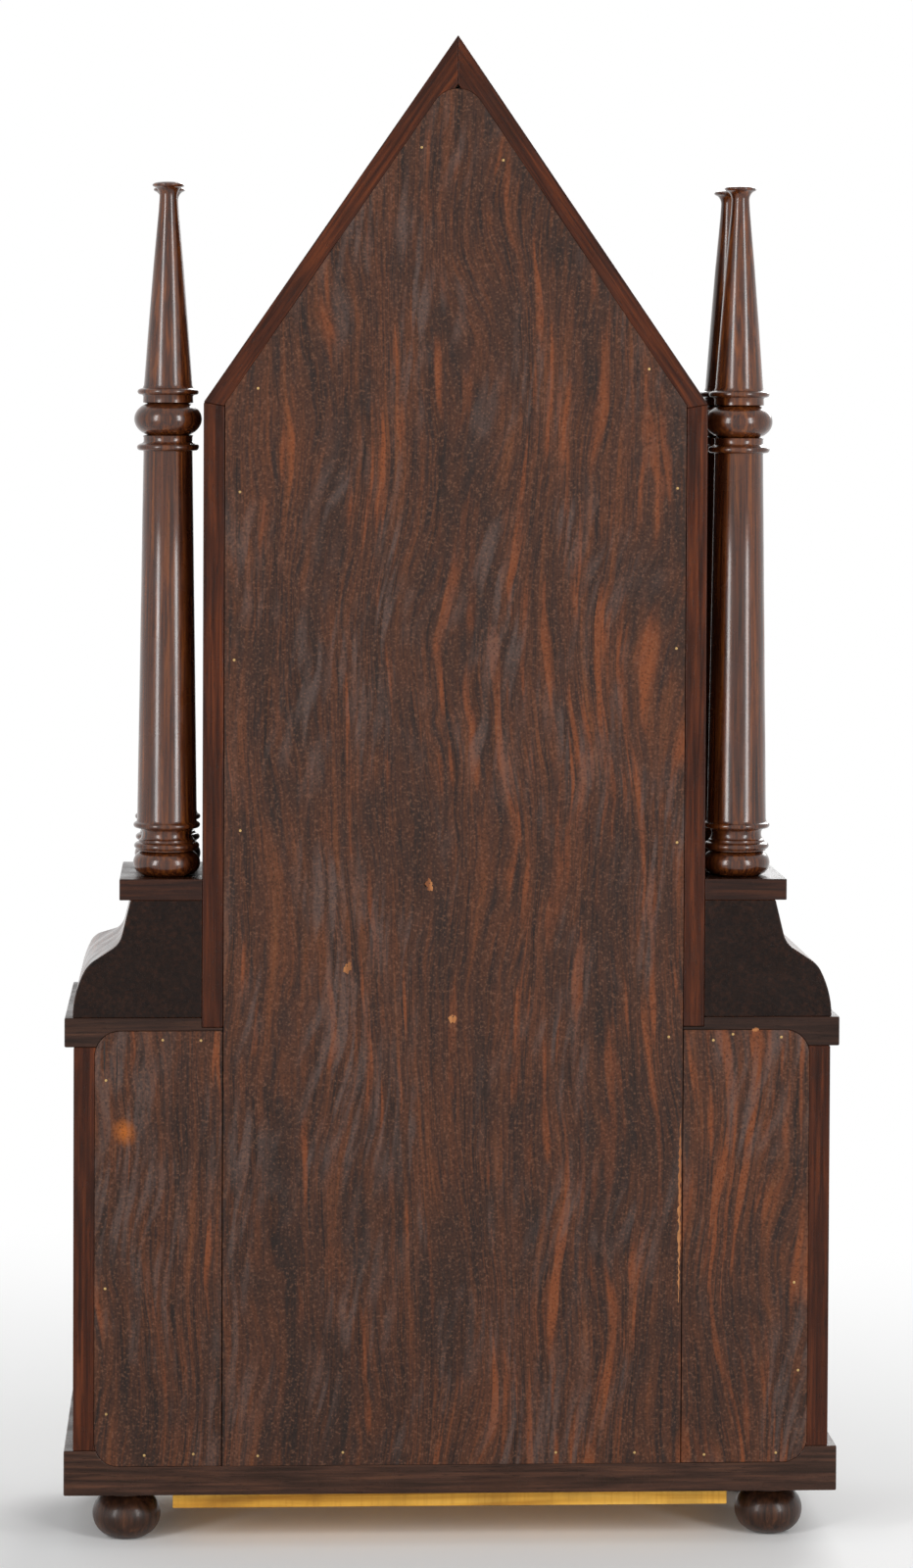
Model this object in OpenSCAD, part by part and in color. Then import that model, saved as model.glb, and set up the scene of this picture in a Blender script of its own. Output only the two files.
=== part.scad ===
// Shelf clock with a pointed upper case, two pairs of turned candlesticks and a wider lower case
// Front faces -Y, back faces +Y. Depths are measured forward from the rear face.

/* [Base and feet] */
// Height of a bun foot
foot_h = 23.5; // [15:0.5:40]
// Largest diameter of a bun foot
foot_d = 30; // [20:1:36]
// Foot centre in from the end of the base
foot_in_x = 27; // [20:1:45]
// Foot centre in from the front or rear of the base
foot_in_y = 25; // [20:1:35]
// Width of the base over its ends
base_w = 339; // [320:1:400]
// Depth of the base
base_d = 127; // [120:1:150]
// Height of the base frame
base_h = 19.8; // [14:0.2:30]
// Width of a rail of the base frame
base_rail = 30; // [22:1:36]
// Thickness of the pine bottom board
bottom_t = 7.5; // [5:0.5:10]
// Width of the pine bottom board
bottom_w = 244; // [210:1:260]

/* [Lower case] */
// Height of the lower case sides
lower_h = 176.6; // [150:1:220]
// How far base and mid board stand out past the lower case
overhang = 4; // [2:0.5:8]
// Thickness of the case side boards
side_t = 13; // [11:0.5:18]
// Width of the side edge left beside the back boards
edge_w = 9.2; // [6:0.2:10]
// Thickness of the back boards
back_t = 5; // [3:0.5:8]
// Depth of the rebate that the back boards reach into mid board and base
back_lap = 7; // [4:0.5:9]
// Corner radius of the lower back rebate
back_r = 11; // [6:1:16]
// Thickness of the mid board
mid_h = 12.8; // [9:0.2:20]

/* [Shoulders] */
// Height of the ogee shoulders
ogee_h = 51.3; // [40:0.5:70]
// How far a shoulder draws in from its foot to its top
ogee_run = 25; // [20:0.5:30]
// Foot of a shoulder in from the end of the mid board
ogee_in = 3.5; // [2:0.5:8]
// Thickness of the cap boards
cap_h = 9.2; // [6:0.2:14]
// How far a cap stands out past its shoulder
cap_over = 4.8; // [2:0.2:7]

/* [Upper case] */
// Upper case in from the end of the base, on each side
shoulder_w = 59.65; // [54:0.05:70]
// Depth of the upper case
upper_d = 73; // [71:1:80]
// Height of the upper sides above the mid board
upper_h = 267.9; // [240:1:300]
// Rise of the gable from the eaves to the apex
gable_rise = 159.7; // [130:1:190]
// Thickness of the roof boards, square to their slope
roof_t = 12; // [10:0.5:16]
// Width of the roof edge left beside the back board
roof_edge = 8; // [5:0.5:9]
// Depth that the upper sides are let into the mid board
housing = 4.2; // [2:0.2:6]
// Radius of the back board's rounded point
apex_r = 12; // [6:1:20]

/* [Candlesticks] */
// Candlestick centre in from the end of its cap
stick_in = 20.3; // [19:0.1:21]
// Rear candlestick in from the rear face
stick_rear = 18; // [16:1:20]
// Spacing between rear and front candlestick
stick_gap = 42; // [36:1:43]
// Height of a candlestick
stick_h = 303.6; // [260:1:340]
// Diameter of a candlestick's ball
ball_d = 29.4; // [24:0.2:29.8]
// Diameter of the shaft at its foot
shaft_d = 26; // [20:0.5:27]
// Diameter of the shaft under its upper ring
shaft_top_d = 21.3; // [17:0.5:24]

/* [Doors] */
// Thickness of both door frames
door_t = 14; // [12:0.5:16]
// Width of the door stiles and rails
stile_w = 20; // [16:0.5:24]
// Gap round each door
door_gap = 0.6; // [0.4:0.1:1]
// Thickness of the door glasses
glass_t = 2; // [1.5:0.5:3]
// Height of the bar between dial glass and tablet, above the door's foot
bar_z = 78; // [60:1:110]
// Height of that bar
bar_h = 12; // [8:1:16]
// Diameter of the door knobs
knob_d = 14; // [10:1:18]
// Length of a knob in front of its door
knob_out = 14; // [10:1:18]
// Diameter of the knob spindles
spindle_d = 4; // [3:0.5:5]
// Diameter of the hinge barrels
barrel_d = 4; // [3:0.5:5]
// Length of a hinge
hinge_h = 30; // [20:1:40]
// Lower door's hinges in from its ends
hinge_low = 22; // [16:1:34]
// Upper door's hinge in from its foot
hinge_foot = 26; // [20:1:40]
// Upper door's top hinge below the eaves
hinge_eaves = 26; // [20:1:40]
// Opening between pin and barrel
pin_clear = 0.05; // [0.02:0.01:0.1]

/* [Dial and hands] */
// Height of the dial centre above the mid board
dial_z = 227; // [215:1:235]
// Dial plate from the rear face
dial_back = 52; // [50:0.5:54]
// Thickness of the dial plate
dial_t = 0.8; // [0.5:0.1:1.5]
// Outer radius of the hour circle
ring_r = 70; // [60:1:74]
// Length of the minute hand
minute_l = 58; // [45:1:66]
// Length of the hour hand
hour_l = 40; // [30:1:50]

/* [Movement] */
// Thickness of the movement plates
plate_t = 1.8; // [1.2:0.2:3]
// Width of a movement plate
plate_w = 112; // [106:1:130]
// Height of a movement plate
plate_h = 124; // [118:1:140]
// Rear face of the back plate from the rear face of the case
plate_back = 13; // [12:0.5:15]
// Space between the plates
plate_gap = 26; // [25:0.5:28]
// Diameter of the pillars
pillar_d = 7; // [5:0.5:9]
// Diameter of the train arbors
arbor_d = 3; // [2:0.2:3.6]
// Diameter of the slim arbors that carry six-leaved pinions
slim_arbor_d = 1.8; // [1.7:0.05:1.9]
// Diameter of the pivots
pivot_d = 1.6; // [1:0.1:2]
// Running clearance of pivots and pipes
run_clear = 0.05; // [0.02:0.01:0.1]
// Winding arbors to each side of the centre
wind_x = 31; // [30.5:0.5:33]
// Winding arbors below the centre
wind_down = 11.6; // [11:0.2:13]
// Diameter of a cord drum
drum_d = 16; // [12:1:18]
// Pendulum length from its suspension to the bob's centre
pendulum_l = 127; // [115:1:135]
// Diameter of the pendulum bob
bob_d = 32; // [24:1:36]

/* [Gong and hammer] */
// Gong centre to the side of the clock's centre
gong_x = 12; // [8:1:16]
// Gong centre above the mid board
gong_z = 58.3; // [56:0.5:62]
// Outer radius of the gong coil
gong_r = 46; // [38:1:48]
// Turns of the gong coil
gong_turns = 5; // [3:1:7]
// Diameter of the gong wire
gong_wire = 2.6; // [2:0.2:3]

/* [Leaf spring and levers] */
// Number of leaves
leaves = 7; // [4:1:8]
// Thickness of a leaf
leaf_t = 2.2; // [1.6:0.1:2.6]
// Width of the leaves
leaf_w = 34; // [24:1:40]
// Radius that the leaves are bent to
leaf_r = 420; // [380:10:600]
// Half length of the longest leaf
leaf_half = 126; // [120:1:130]
// Lever pivots in from the lower case sides
lever_in = 9.5; // [8.5:0.5:14]
// Lever pivots above the base frame
lever_z = 78; // [70:1:90]
// Thickness of a lever
lever_t = 4; // [3:0.5:6]
// Diameter of the pull cords
cord_d = 1.8; // [1.2:0.2:2.4]

/* [Hidden] */
$fn = 48;
fit = 0.3;
z_base = foot_h;
z_lower = z_base + base_h;
z_mid = z_lower + lower_h;
z_ogee = z_mid + mid_h;
z_cap = z_ogee + ogee_h;
z_stand = z_cap + cap_h;
z_eaves = z_ogee + upper_h;
z_apex = z_eaves + gable_rise;
lower_w = base_w - 2 * overhang;
lower_d = base_d - overhang;
half_l = lower_w / 2;
half_u = base_w / 2 - shoulder_w;
ogee_foot_x = base_w / 2 - ogee_in;
ogee_top_x = ogee_foot_x - ogee_run;
stick_x = ogee_top_x + cap_over - stick_in;
lever_x = half_l - side_t - lever_in;
y_rear = (base_d + knob_out - overhang) / 2;
roof_len = norm([half_u, gable_rise]);
roof_a = atan2(gable_rise, half_u);
roof_drop = roof_t / cos(roof_a);
edge_drop = roof_edge / cos(roof_a);
door_d = upper_d - door_t;
door_z0 = z_stand + door_gap;
cz = z_ogee + dial_z;
front_plate = plate_back + plate_t + plate_gap;
shoulder_d = base_d - ogee_in;
cap_d = upper_d + cap_over;
mitre_drop = roof_drop - side_t * gable_rise / half_u;
upper_knob_z = z_stand + bar_z + bar_h / 2;
lower_knob_z = (z_lower + z_mid) / 2;
tenon_d = 9;
tenon_l = 7;
stick_tip = 7.8;
rim_d = 13.8;
seam_gap = 0.4;
screw_d = 2.4;
gong_screws = [[12, gong_z], [47, gong_z - 37], [0, gong_z - 59]];
cord_x = wind_x + drum_d / 2 + cord_d / 2 + 0.1;
line_d = plate_back + plate_t + 17;
rebate = 5;
rebate_w = 4;
catch_l = stile_w / 2 + door_gap + 4;
catch_room = catch_l;
hinge_pin = barrel_d * 0.5;
plate_low = 80;
wind_d = 6;
great_t = 2.4;
great_lap = 0.2;
time_plane = plate_back + plate_t + 0.8;
strike_plane = time_plane + great_t + 0.9;
cannon_plane = front_plate + plate_t + 0.6;
cannon_t = 1.6;
wind_hole = 10;
pend_d = front_plate + 6.6;
cannon_d = 4.2;
hour_pipe_d = 7;
stud_d = 2.4;
mesh = 0.12;
// Modules of the meshing pairs, and the places of the arbors from the centre arbor
great_m = 1.1;
great_n = 48;
great_leaves = 12;
center_m = 0.62;
center_n = 72;
third_m = 0.55;
third_n = 60;
leaf_n = 6;
cannon_m = 0.9;
cannon_n = 12;
minute_n = 36;
hour_n = 40;
hour_leaves = 10;
minute_at = [0, (cannon_n + minute_n) / 2 * cannon_m + mesh];
hour_m = (minute_at[1] - mesh) * 2 / (hour_n + hour_leaves);
time_at = [wind_x, -wind_down];
strike_at = [-wind_x, -wind_down];
third_at = [0, -((center_n + leaf_n) / 2 * center_m + mesh)];
escape_at = [0, third_at[1] - (third_n + leaf_n) / 2 * third_m - mesh];
escape_r = 11;
escape_n = 42;
verge_drop = 17;
verge_at = [0, escape_at[1] - verge_drop];
pin_a = 67.8;
pin_at = strike_at + ((great_n + great_leaves) / 2 * great_m + mesh) * [cos(pin_a), sin(pin_a)];
hammer_at = [-43, -66];
hammer_head = 12;
hammer_face = 8;
gong_pad = 9;
gong_arm = 10;
block = 8;
pillar_in = 5;
gong_d = plate_back + plate_t + 2;
lever_pin = 5;
leaf_gap = 0.15;
spring_d = line_d;
spring_z = z_lower + 6;
clamp_top = spring_z + leaves * (leaf_t + leaf_gap) + 1;
spring_eye = leaf_half - 6;
spring_top = clamp_top + leaf_r - sqrt(leaf_r * leaf_r - spring_eye * spring_eye);
// Each pivot's place, with its bore in the back and in the front plate
pivots = [
  [0, 0, pivot_d, arbor_d], [third_at[0], third_at[1], pivot_d, pivot_d],
  [escape_at[0], escape_at[1], pivot_d, pivot_d], [verge_at[0], verge_at[1], pivot_d, arbor_d],
  [time_at[0], time_at[1], arbor_d, wind_d], [strike_at[0], strike_at[1], arbor_d, wind_d],
  [pin_at[0], pin_at[1], pivot_d, pivot_d], [hammer_at[0], hammer_at[1], pivot_d, pivot_d]
];

// Door edge to the knob's centre
function knob_in(half) = half - side_t - door_gap - stile_w / 2;

// Depth measured forward from the rear face, as a Y coordinate
function at(depth) = y_rear - depth;

// Half width of the gable at a height, after a drop below the roof line
function gable_x(z, drop) = (z_apex - drop - z) * half_u / gable_rise;

// Outline in X and Z, carried from one depth to another
module slab(from, to) {
  translate([0, at(from), 0]) rotate([90, 0, 0]) linear_extrude(to - from) children();
}

// Plain board between two corners given as x, depth, z
module board(lo, hi) {
  translate([lo[0], at(hi[1]), lo[2]]) cube([hi[0] - lo[0], hi[1] - lo[1], hi[2] - lo[2]]);
}

// Round bar along the depth of the clock
module rod(x, z, from, to, d) {
  translate([x, at(from), z]) rotate([90, 0, 0]) cylinder(h = to - from, d = d);
}

// Both sides of a mirrored pair
module pair() {
  children();
  mirror([1, 0, 0]) children();
}

// Rectangle with rounded corners
module soft_rect(x0, z0, x1, z1, r) {
  translate([x0 + r, z0]) square([x1 - x0 - 2 * r, z1 - z0]);
  translate([x0, z0 + r]) square([x1 - x0, z1 - z0 - 2 * r]);
  for (x = [x0 + r, x1 - r], z = [z0 + r, z1 - r]) translate([x, z]) circle(r);
}

// Pointed gable outline, dropped below the roof line and drawn in from the sides
module gable(z0, drop, inset) {
  x = half_u - inset;
  z = z_apex - drop - x * gable_rise / half_u;
  polygon([[-x, z0], [x, z0], [x, z], [0, z_apex - drop], [-x, z]]);
}

// Outline of the back boards together
module back_outline() {
  tip = z_apex - edge_drop - apex_r / cos(roof_a);
  cut = tip + apex_r * cos(roof_a);
  cut_x = apex_r * sin(roof_a);
  difference() {
    gable(z_lower, edge_drop, edge_w);
    translate([-half_u, cut]) square([2 * half_u, gable_rise]);
  }
  translate([0, tip]) circle(apex_r);
  soft_rect(-half_l + edge_w, z_lower - back_lap, half_l - edge_w, z_mid + back_lap, back_r);
}

module back_cut() {
  slab(-1, back_t) back_outline();
}

// Frame of the base, open in the middle, with the rebate for the back boards
module base_frame() {
  color("#3a2017") difference() {
    board([-base_w / 2, 0, z_base], [base_w / 2, base_d, z_lower]);
    board([-base_w / 2 + base_rail * 1.6, base_rail, z_base - 1],
          [base_w / 2 - base_rail * 1.6, base_d - base_rail, z_lower + 1]);
    back_cut();
  }
}

module bottom_board() {
  color("#b8862e") board([-bottom_w / 2, 8, z_base - bottom_t], [bottom_w / 2, base_d - 8, z_base]);
}

// Turned bun foot: flat sole, round belly and a short neck
module bun_foot() {
  r = foot_d / 2;
  belly = foot_h * 0.44;
  rotate_extrude() {
    intersection() {
      translate([r - belly, belly]) circle(belly, $fn = 64);
      translate([0, 0]) square([r, foot_h]);
    }
    square([r - belly, belly * 2]);
    square([r * 0.8, foot_h]);
  }
}

module bun_feet() {
  color("#3b2015") for (s = [-1, 1], d = [foot_in_y, base_d - foot_in_y]) {
    translate([s * (base_w / 2 - foot_in_x), at(d), 0]) bun_foot();
  }
}

// Lower side board with the rebate behind and the mortise for the door catch
module lower_side(s) {
  x0 = s < 0 ? -half_l : half_l - side_t;
  difference() {
    board([x0, 0, z_lower], [x0 + side_t, lower_d, z_mid]);
    back_cut();
    if (s < 0) catch_slot(half_l, lower_d, lower_knob_z);
  }
}

module lower_side_left() { color("#4a261a") lower_side(-1); }
module lower_side_right() { color("#4a261a") lower_side(1); }

// Mid board, housed for the upper sides, rebated behind and slotted for the pull cords
module mid_board() {
  color("#43231a") difference() {
    board([-base_w / 2, 0, z_mid], [base_w / 2, base_d, z_ogee]);
    board([-half_u, -1, z_ogee - housing], [-half_u + side_t, upper_d, z_ogee + 1]);
    board([half_u - side_t, -1, z_ogee - housing], [half_u, upper_d, z_ogee + 1]);
    board([-half_u + edge_w, -1, z_mid - 1], [half_u - edge_w, back_t, z_ogee + 1]);
    back_cut();
    for (s = [-1, 1]) board([s * cord_x - 5, line_d - 8, z_mid - 1], [s * cord_x + 5, line_d + 8, z_ogee + 1]);
  }
}

// Ogee outline from the inner face outward: full lower curve, slope, cove, then a steep neck
module ogee_profile(inner, top, foot) {
  bulge_r = 44;
  cove_r = 10;
  neck_z = ogee_h * 0.75;
  neck_x = top + 13.4;
  polygon(concat(
    [[inner, 0], [foot, 0]],
    [for (a = [0:4:32]) [foot - bulge_r * (1 - cos(a)), bulge_r * sin(a)]],
    [for (b = [52:-9.5:14]) [neck_x - cove_r * cos(b), neck_z - cove_r * sin(b)]],
    [[top, ogee_h], [inner, ogee_h]]
  ));
}

// Shoulder moulding all round, before it is parted into its three pieces
module shoulder() {
  intersection() {
    translate([0, at(0), z_ogee]) rotate([90, 0, 0]) linear_extrude(shoulder_d) {
      ogee_profile(-1, ogee_top_x, ogee_foot_x);
      mirror([1, 0]) ogee_profile(-1, ogee_top_x, ogee_foot_x);
    }
    translate([-base_w / 2, at(0), z_ogee]) rotate([90, 0, 90]) linear_extrude(base_w)
      mirror([1, 0]) ogee_profile(0, upper_d, shoulder_d);
  }
}

module ogee_side() {
  intersection() {
    shoulder();
    board([half_u, 0, z_ogee], [base_w / 2, shoulder_d, z_cap]);
  }
}

module ogee_left() { color("#2a1a15") mirror([1, 0, 0]) ogee_side(); }
module ogee_right() { color("#2a1a15") ogee_side(); }

module ogee_front() {
  color("#5a2f14") {
    intersection() {
      shoulder();
      board([-half_u, upper_d, z_ogee], [half_u, shoulder_d, z_cap]);
    }
    board([-half_u + side_t, door_d, z_ogee], [half_u - side_t, upper_d + 2, z_ogee + ogee_h * 0.9]);
    board([-half_u + side_t, door_d, z_ogee], [half_u - side_t, upper_d, z_cap]);
  }
}

// Cap board beside the case, with the hole that seats each candlestick's tenon
module cap_side() {
  difference() {
    board([half_u, 0, z_cap], [ogee_top_x + cap_over, cap_d, z_stand]);
    for (d = [stick_rear, stick_rear + stick_gap]) {
      translate([stick_x, at(d), z_stand - tenon_l]) cylinder(h = tenon_l + 1, d = tenon_d + 2 * run_clear);
    }
  }
}

module cap_left() { color("#3a2017") mirror([1, 0, 0]) cap_side(); }
module cap_right() { color("#3a2017") cap_side(); }
module cap_front() {
  color("#3a2017") {
    board([-half_u, upper_d, z_cap], [half_u, cap_d, z_stand]);
    board([-half_u + side_t, door_d, z_cap], [half_u - side_t, upper_d, z_stand]);
  }
}

// Upper side board, mitred to the roof along half the eaves angle
module upper_side(s) {
  difference() {
    intersection() {
      board([s < 0 ? -half_u : half_u - side_t, 0, z_ogee - housing],
            [s < 0 ? -half_u + side_t : half_u, upper_d, z_eaves + 5]);
      slab(0, upper_d) scale([s, 1]) polygon([[0, z_ogee - housing], [half_u, z_ogee - housing],
        [half_u, z_eaves], [half_u - side_t, z_eaves - mitre_drop], [0, z_eaves - mitre_drop]]);
    }
    back_cut();
    if (s < 0) catch_slot(half_u, upper_d, upper_knob_z);
  }
}

module upper_side_left() { color("#4a261a") upper_side(-1); }
module upper_side_right() { color("#4a261a") upper_side(1); }

// Roof board from the eaves mitre up to the mitre at the apex
module roof(s) {
  difference() {
    slab(0, upper_d) scale([s, 1]) polygon([[half_u, z_eaves], [0, z_apex], [0, z_apex - roof_drop],
      [half_u - side_t, z_eaves - mitre_drop]]);
    back_cut();
  }
}

module roof_left() { color("#4f2a1a") roof(-1); }
module roof_right() { color("#4f2a1a") roof(1); }

// Back boards: the middle one runs from the point to the base, two narrow ones fill the lower case
module back_board(x0, x1) {
  intersection() {
    slab(0, back_t) back_outline();
    board([x0, -1, z_base], [x1, back_t + 1, z_apex]);
  }
}

seam = half_u - edge_w;
module back_board_center() {
  color("#42302a") difference() {
    back_board(-seam + seam_gap / 2, seam - seam_gap / 2);
    for (h = gong_screws) rod(h[0], z_ogee + h[1], -1, back_t + 1, screw_d);
  }
}
module back_board_left() { color("#42302a") back_board(-half_l, -seam - seam_gap / 2); }
module back_board_right() { color("#42302a") back_board(seam + seam_gap / 2, half_l); }

// Turned candlestick: outline as radius and height, foot to tip, shares taken along its height
module candlestick() {
  b = ball_d / 2;
  s = shaft_d / 2;
  t = shaft_top_d / 2;
  foot = 24;
  ring = stick_h * 0.586;
  ball = ring + 19.3;
  upper = ball + 12.6;
  rotate_extrude($fn = 64) {
    translate([0, -tenon_l + fit]) square([tenon_d / 2, tenon_l]);
    torus_part(0, 8.4, b, 8);
    square([b * 0.8, foot]);
    torus_part(8.4, 15, b * 0.975, 3.3);
    torus_part(15, 17.5, b * 0.96, 1.2);
    translate([0, foot - 3]) ring_part(b, 3);
    polygon([[0, foot - 1], [s, foot - 1], [t, ring], [0, ring]]);
    translate([0, ring - 1]) ring_part(b * 0.92, 3.4);
    square([t, ball]);
    torus_part(ball - 7.2, ball + 7.2, b, 7.2);
    translate([0, upper - 3.4]) ring_part(b * 0.9, 3.4);
    polygon([[0, ball], [t, ball], [t * 0.99, upper], [stick_tip / 2, stick_h - 4.5], [0, stick_h - 4.5]]);
    polygon([[0, stick_h - 7], [stick_tip / 2, stick_h - 7], [rim_d / 2 - 0.8, stick_h - 3],
             [rim_d / 2, stick_h - 2.4], [rim_d / 2, stick_h - 1.4], [rim_d / 2 - 1.5, stick_h - 0.6],
             [0, stick_h]]);
  }
}

// Half-round swelling between two heights, out to a radius
module torus_part(z0, z1, r, round_r) {
  translate([0, z0]) square([r - round_r, z1 - z0]);
  intersection() {
    translate([r - round_r, (z0 + z1) / 2]) scale([1, (z1 - z0) / 2 / round_r]) circle(round_r, $fn = 32);
    square([r, stick_h]);
  }
}

// Flat turned ring with eased edges
module ring_part(r, h) {
  polygon([[0, 0], [r - 0.5, 0], [r, 0.5], [r, h - 0.5], [r - 0.5, h], [0, h]]);
}

module stick_pair(d) {
  pair() translate([stick_x, at(d), z_stand]) candlestick();
}
module rear_candlesticks() { color("#5a2f14") stick_pair(stick_rear); }
module front_candlesticks() { color("#5a2f14") stick_pair(stick_rear + stick_gap); }

// Wood blocks inside: movement seats, dial rests and door stops
module mounting_blocks() {
  color("#9a7440") {
    for (z = [cz - plate_low + 2, cz + plate_h - plate_low - 12])
      board([-50, back_t, z], [50, plate_back, z + 10]);
    pair() board([half_u - side_t - block, 36, cz - 70], [half_u - side_t, dial_back, cz - 20]);
    board([-half_u + side_t, door_d - block, z_stand + 4],
          [-half_u + side_t + block, door_d - fit, z_stand + 24]);
    board([-half_l + side_t, lower_d - door_t - block, z_lower],
          [-half_l + side_t + block, lower_d - door_t - fit, z_lower + 20]);
  }
}

// Room for the catch to turn in the left side board, behind the door
module catch_slot(half, front, z) {
  board([-half + side_t - 6, front - door_t - 4, z - catch_room],
        [-half + side_t + 1, front - door_t, z + catch_room]);
}

// Pointed door outline, drawn in by a margin from the case
module door_outline(margin) {
  gable(door_z0 + margin, roof_drop + (door_gap + margin) / cos(roof_a), side_t + door_gap + margin);
}

// Dial opening of the upper door, grown by a margin
module dial_light(grow) {
  intersection() {
    door_outline(stile_w - grow);
    translate([-half_u, door_z0 + bar_z + bar_h - grow]) square([2 * half_u, gable_rise + upper_h]);
  }
}

// Tablet opening of the upper door, grown by a margin
module tablet_light(grow) {
  x = half_u - side_t - door_gap - stile_w + grow;
  translate([-x, door_z0 + stile_w - grow]) square([2 * x, bar_z - stile_w + 2 * grow]);
}

// Opening of the lower door, grown by a margin
module lower_light(grow) {
  x = half_l - side_t - door_gap - stile_w + grow;
  translate([-x, z_lower + door_gap + stile_w - grow])
    square([2 * x, lower_h - 2 * (door_gap + stile_w - grow)]);
}

module upper_door_frame() {
  color("#5e3017") difference() {
    slab(door_d, upper_d) door_outline(0);
    slab(door_d - 1, upper_d + 1) { dial_light(0); tablet_light(0); }
    slab(door_d - 1, door_d + rebate) { dial_light(rebate_w); tablet_light(rebate_w); }
    rod(-knob_in(half_u), upper_knob_z, door_d - 1, upper_d + 1, spindle_d + 2 * pin_clear);
  }
}

module lower_door_frame() {
  f = lower_d - door_t;
  x = half_l - side_t - door_gap;
  color("#5e3017") difference() {
    board([-x, f, z_lower + door_gap], [x, lower_d, z_mid - door_gap]);
    slab(f - 1, lower_d + 1) lower_light(0);
    slab(f - 1, f + rebate) lower_light(rebate_w);
    rod(-knob_in(half_l), lower_knob_z, f - 1, lower_d + 1, spindle_d + 2 * pin_clear);
  }
}

module upper_door_glass() { color("lightblue", 0.4) pane(door_d) dial_light(rebate_w - fit); }
module upper_door_tablet() { color("tan", 0.6) pane(door_d) tablet_light(rebate_w - fit); }
module lower_door_tablet() { color("tan", 0.6) pane(lower_d - door_t) lower_light(rebate_w - fit); }
module pane(from) { slab(from + rebate - glass_t, from + rebate) children(); }

// Turned knob with its spindle and the catch behind the door
module knob(half, front, z) {
  x = -knob_in(half);
  r = knob_d / 2;
  translate([x, at(front), z]) rotate([90, 0, 0]) rotate_extrude($fn = 48) polygon(concat(
    [[0, 0.2], [r * 0.75, 0.2], [r * 0.6, 2], [r * 0.42, 4]],
    [for (a = [-60:20:80]) [r * cos(a), knob_out - r * 0.62 + r * 0.62 * sin(a)]], [[0, knob_out]]));
  rod(x, z, front - door_t - 3, front + 0.5, spindle_d);
  board([x - 2.5, front - door_t - 3, z - 3], [x + 2.5, front - door_t - 1, z + catch_l]);
}

module upper_door_knob() { color("#2b1a12") knob(half_u, upper_d, upper_knob_z); }
module lower_door_knob() { color("#2b1a12") knob(half_l, lower_d, lower_knob_z); }

// Hinge leaf: a plate on the front with its knuckles; the case's leaf holds both end knuckles and the pin
module leaf(half, front, z, case_side) {
  x = half - side_t;
  k = hinge_h / 3;
  y = at(front + barrel_d / 2);
  if (case_side) {
    board([x + barrel_d / 2 + 0.4, front, z], [x + 9, front + 0.8, z + hinge_h]);
    for (q = [0, 2]) {
      translate([x, y, z + q * k + 0.1]) cylinder(h = k - 0.2, d = barrel_d);
      board([x, front, z + q * k + 0.1], [x + 9, front + 0.8, z + (q + 1) * k - 0.1]);
    }
    translate([x, y, z]) cylinder(h = hinge_h, d = hinge_pin);
  } else {
    difference() {
      union() {
        translate([x, y, z + k + 0.1]) cylinder(h = k - 0.2, d = barrel_d);
        board([x - 9, front, z + k + 0.1], [x, front + 0.8, z + 2 * k - 0.1]);
        board([x - 9, front, z], [x - barrel_d / 2 - 0.4, front + 0.8, z + hinge_h]);
      }
      translate([x, y, z - 1]) cylinder(h = hinge_h + 2, d = hinge_pin + 2 * pin_clear);
    }
  }
}

module hinges(case_side, upper) {
  if (upper) {
    for (z = [z_stand + hinge_foot, z_eaves - hinge_eaves - hinge_h]) leaf(half_u, upper_d, z, case_side);
  } else {
    for (z = [z_lower + hinge_low, z_mid - hinge_low - hinge_h]) leaf(half_l, lower_d, z, case_side);
  }
}
module case_hinge_leaves() { color("#b08d3e") { hinges(true, true); hinges(true, false); } }
module upper_door_hinges() { color("#b08d3e") hinges(false, true); }
module lower_door_hinges() { color("#b08d3e") hinges(false, false); }

// Painted dial plate, pointed to fit the gable, with its centre hole and two winding holes
module dial() {
  color("#e8dfc6") difference() {
    slab(dial_back, dial_back + dial_t) gable(door_z0 + bar_z + 2, roof_drop + 2, side_t + 1);
    rod(0, cz, dial_back - 1, dial_back + 2, hour_pipe_d + 4);
    for (s = [-1, 1]) rod(s * wind_x, cz - wind_down, dial_back - 1, dial_back + 2, wind_hole);
  }
}

// Toothed outline with straight flanks: m is the pitch diameter over the tooth count
module teeth(n, m, phase, root_share = 0.6, tip_share = 0.26) {
  r = n * m / 2;
  polygon([for (i = [0:n - 1]) each [
    for (p = [[-root_share, r - 1.2 * m], [-tip_share, r + 0.85 * m],
              [tip_share, r + 0.85 * m], [root_share, r - 1.2 * m]])
      let (a = phase + (i * 360 + p[0] * 180) / n) [p[1] * cos(a), p[1] * sin(a)]
  ]]);
}

// Wheel or pinion round an arbor at x, z of the movement, between two depths
module gear(c, n, m, phase, from, to, share = 0.6) {
  translate([c[0], at(from), cz + c[1]]) rotate([90, 0, 0]) linear_extrude(to - from) teeth(n, m, phase, share);
}

// Four crossings left between a rim and a hub
module crossings(c, rim, hub, from, to) {
  translate([c[0], at(from - 1), cz + c[1]]) rotate([90, 0, 0]) linear_extrude(to - from + 2) difference() {
    circle(rim);
    circle(hub);
    for (a = [0, 90]) rotate(a) square([2 * rim, hub * 0.7], center = true);
  }
}

// Wheel with its rim cut into crossings
module crossed(c, n, m, phase, from, to, hub) {
  difference() {
    gear(c, n, m, phase, from, to);
    crossings(c, n * m / 2 - 3.2 * m - 0.6, hub, from, to);
  }
}

// Arbor between the plates with a pivot at each end
module arbor(c, d = arbor_d) {
  rod(c[0], cz + c[1], plate_back + plate_t + 0.4, front_plate - 0.4, d);
  rod(c[0], cz + c[1], plate_back, front_plate + plate_t, pivot_d);
}

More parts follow.
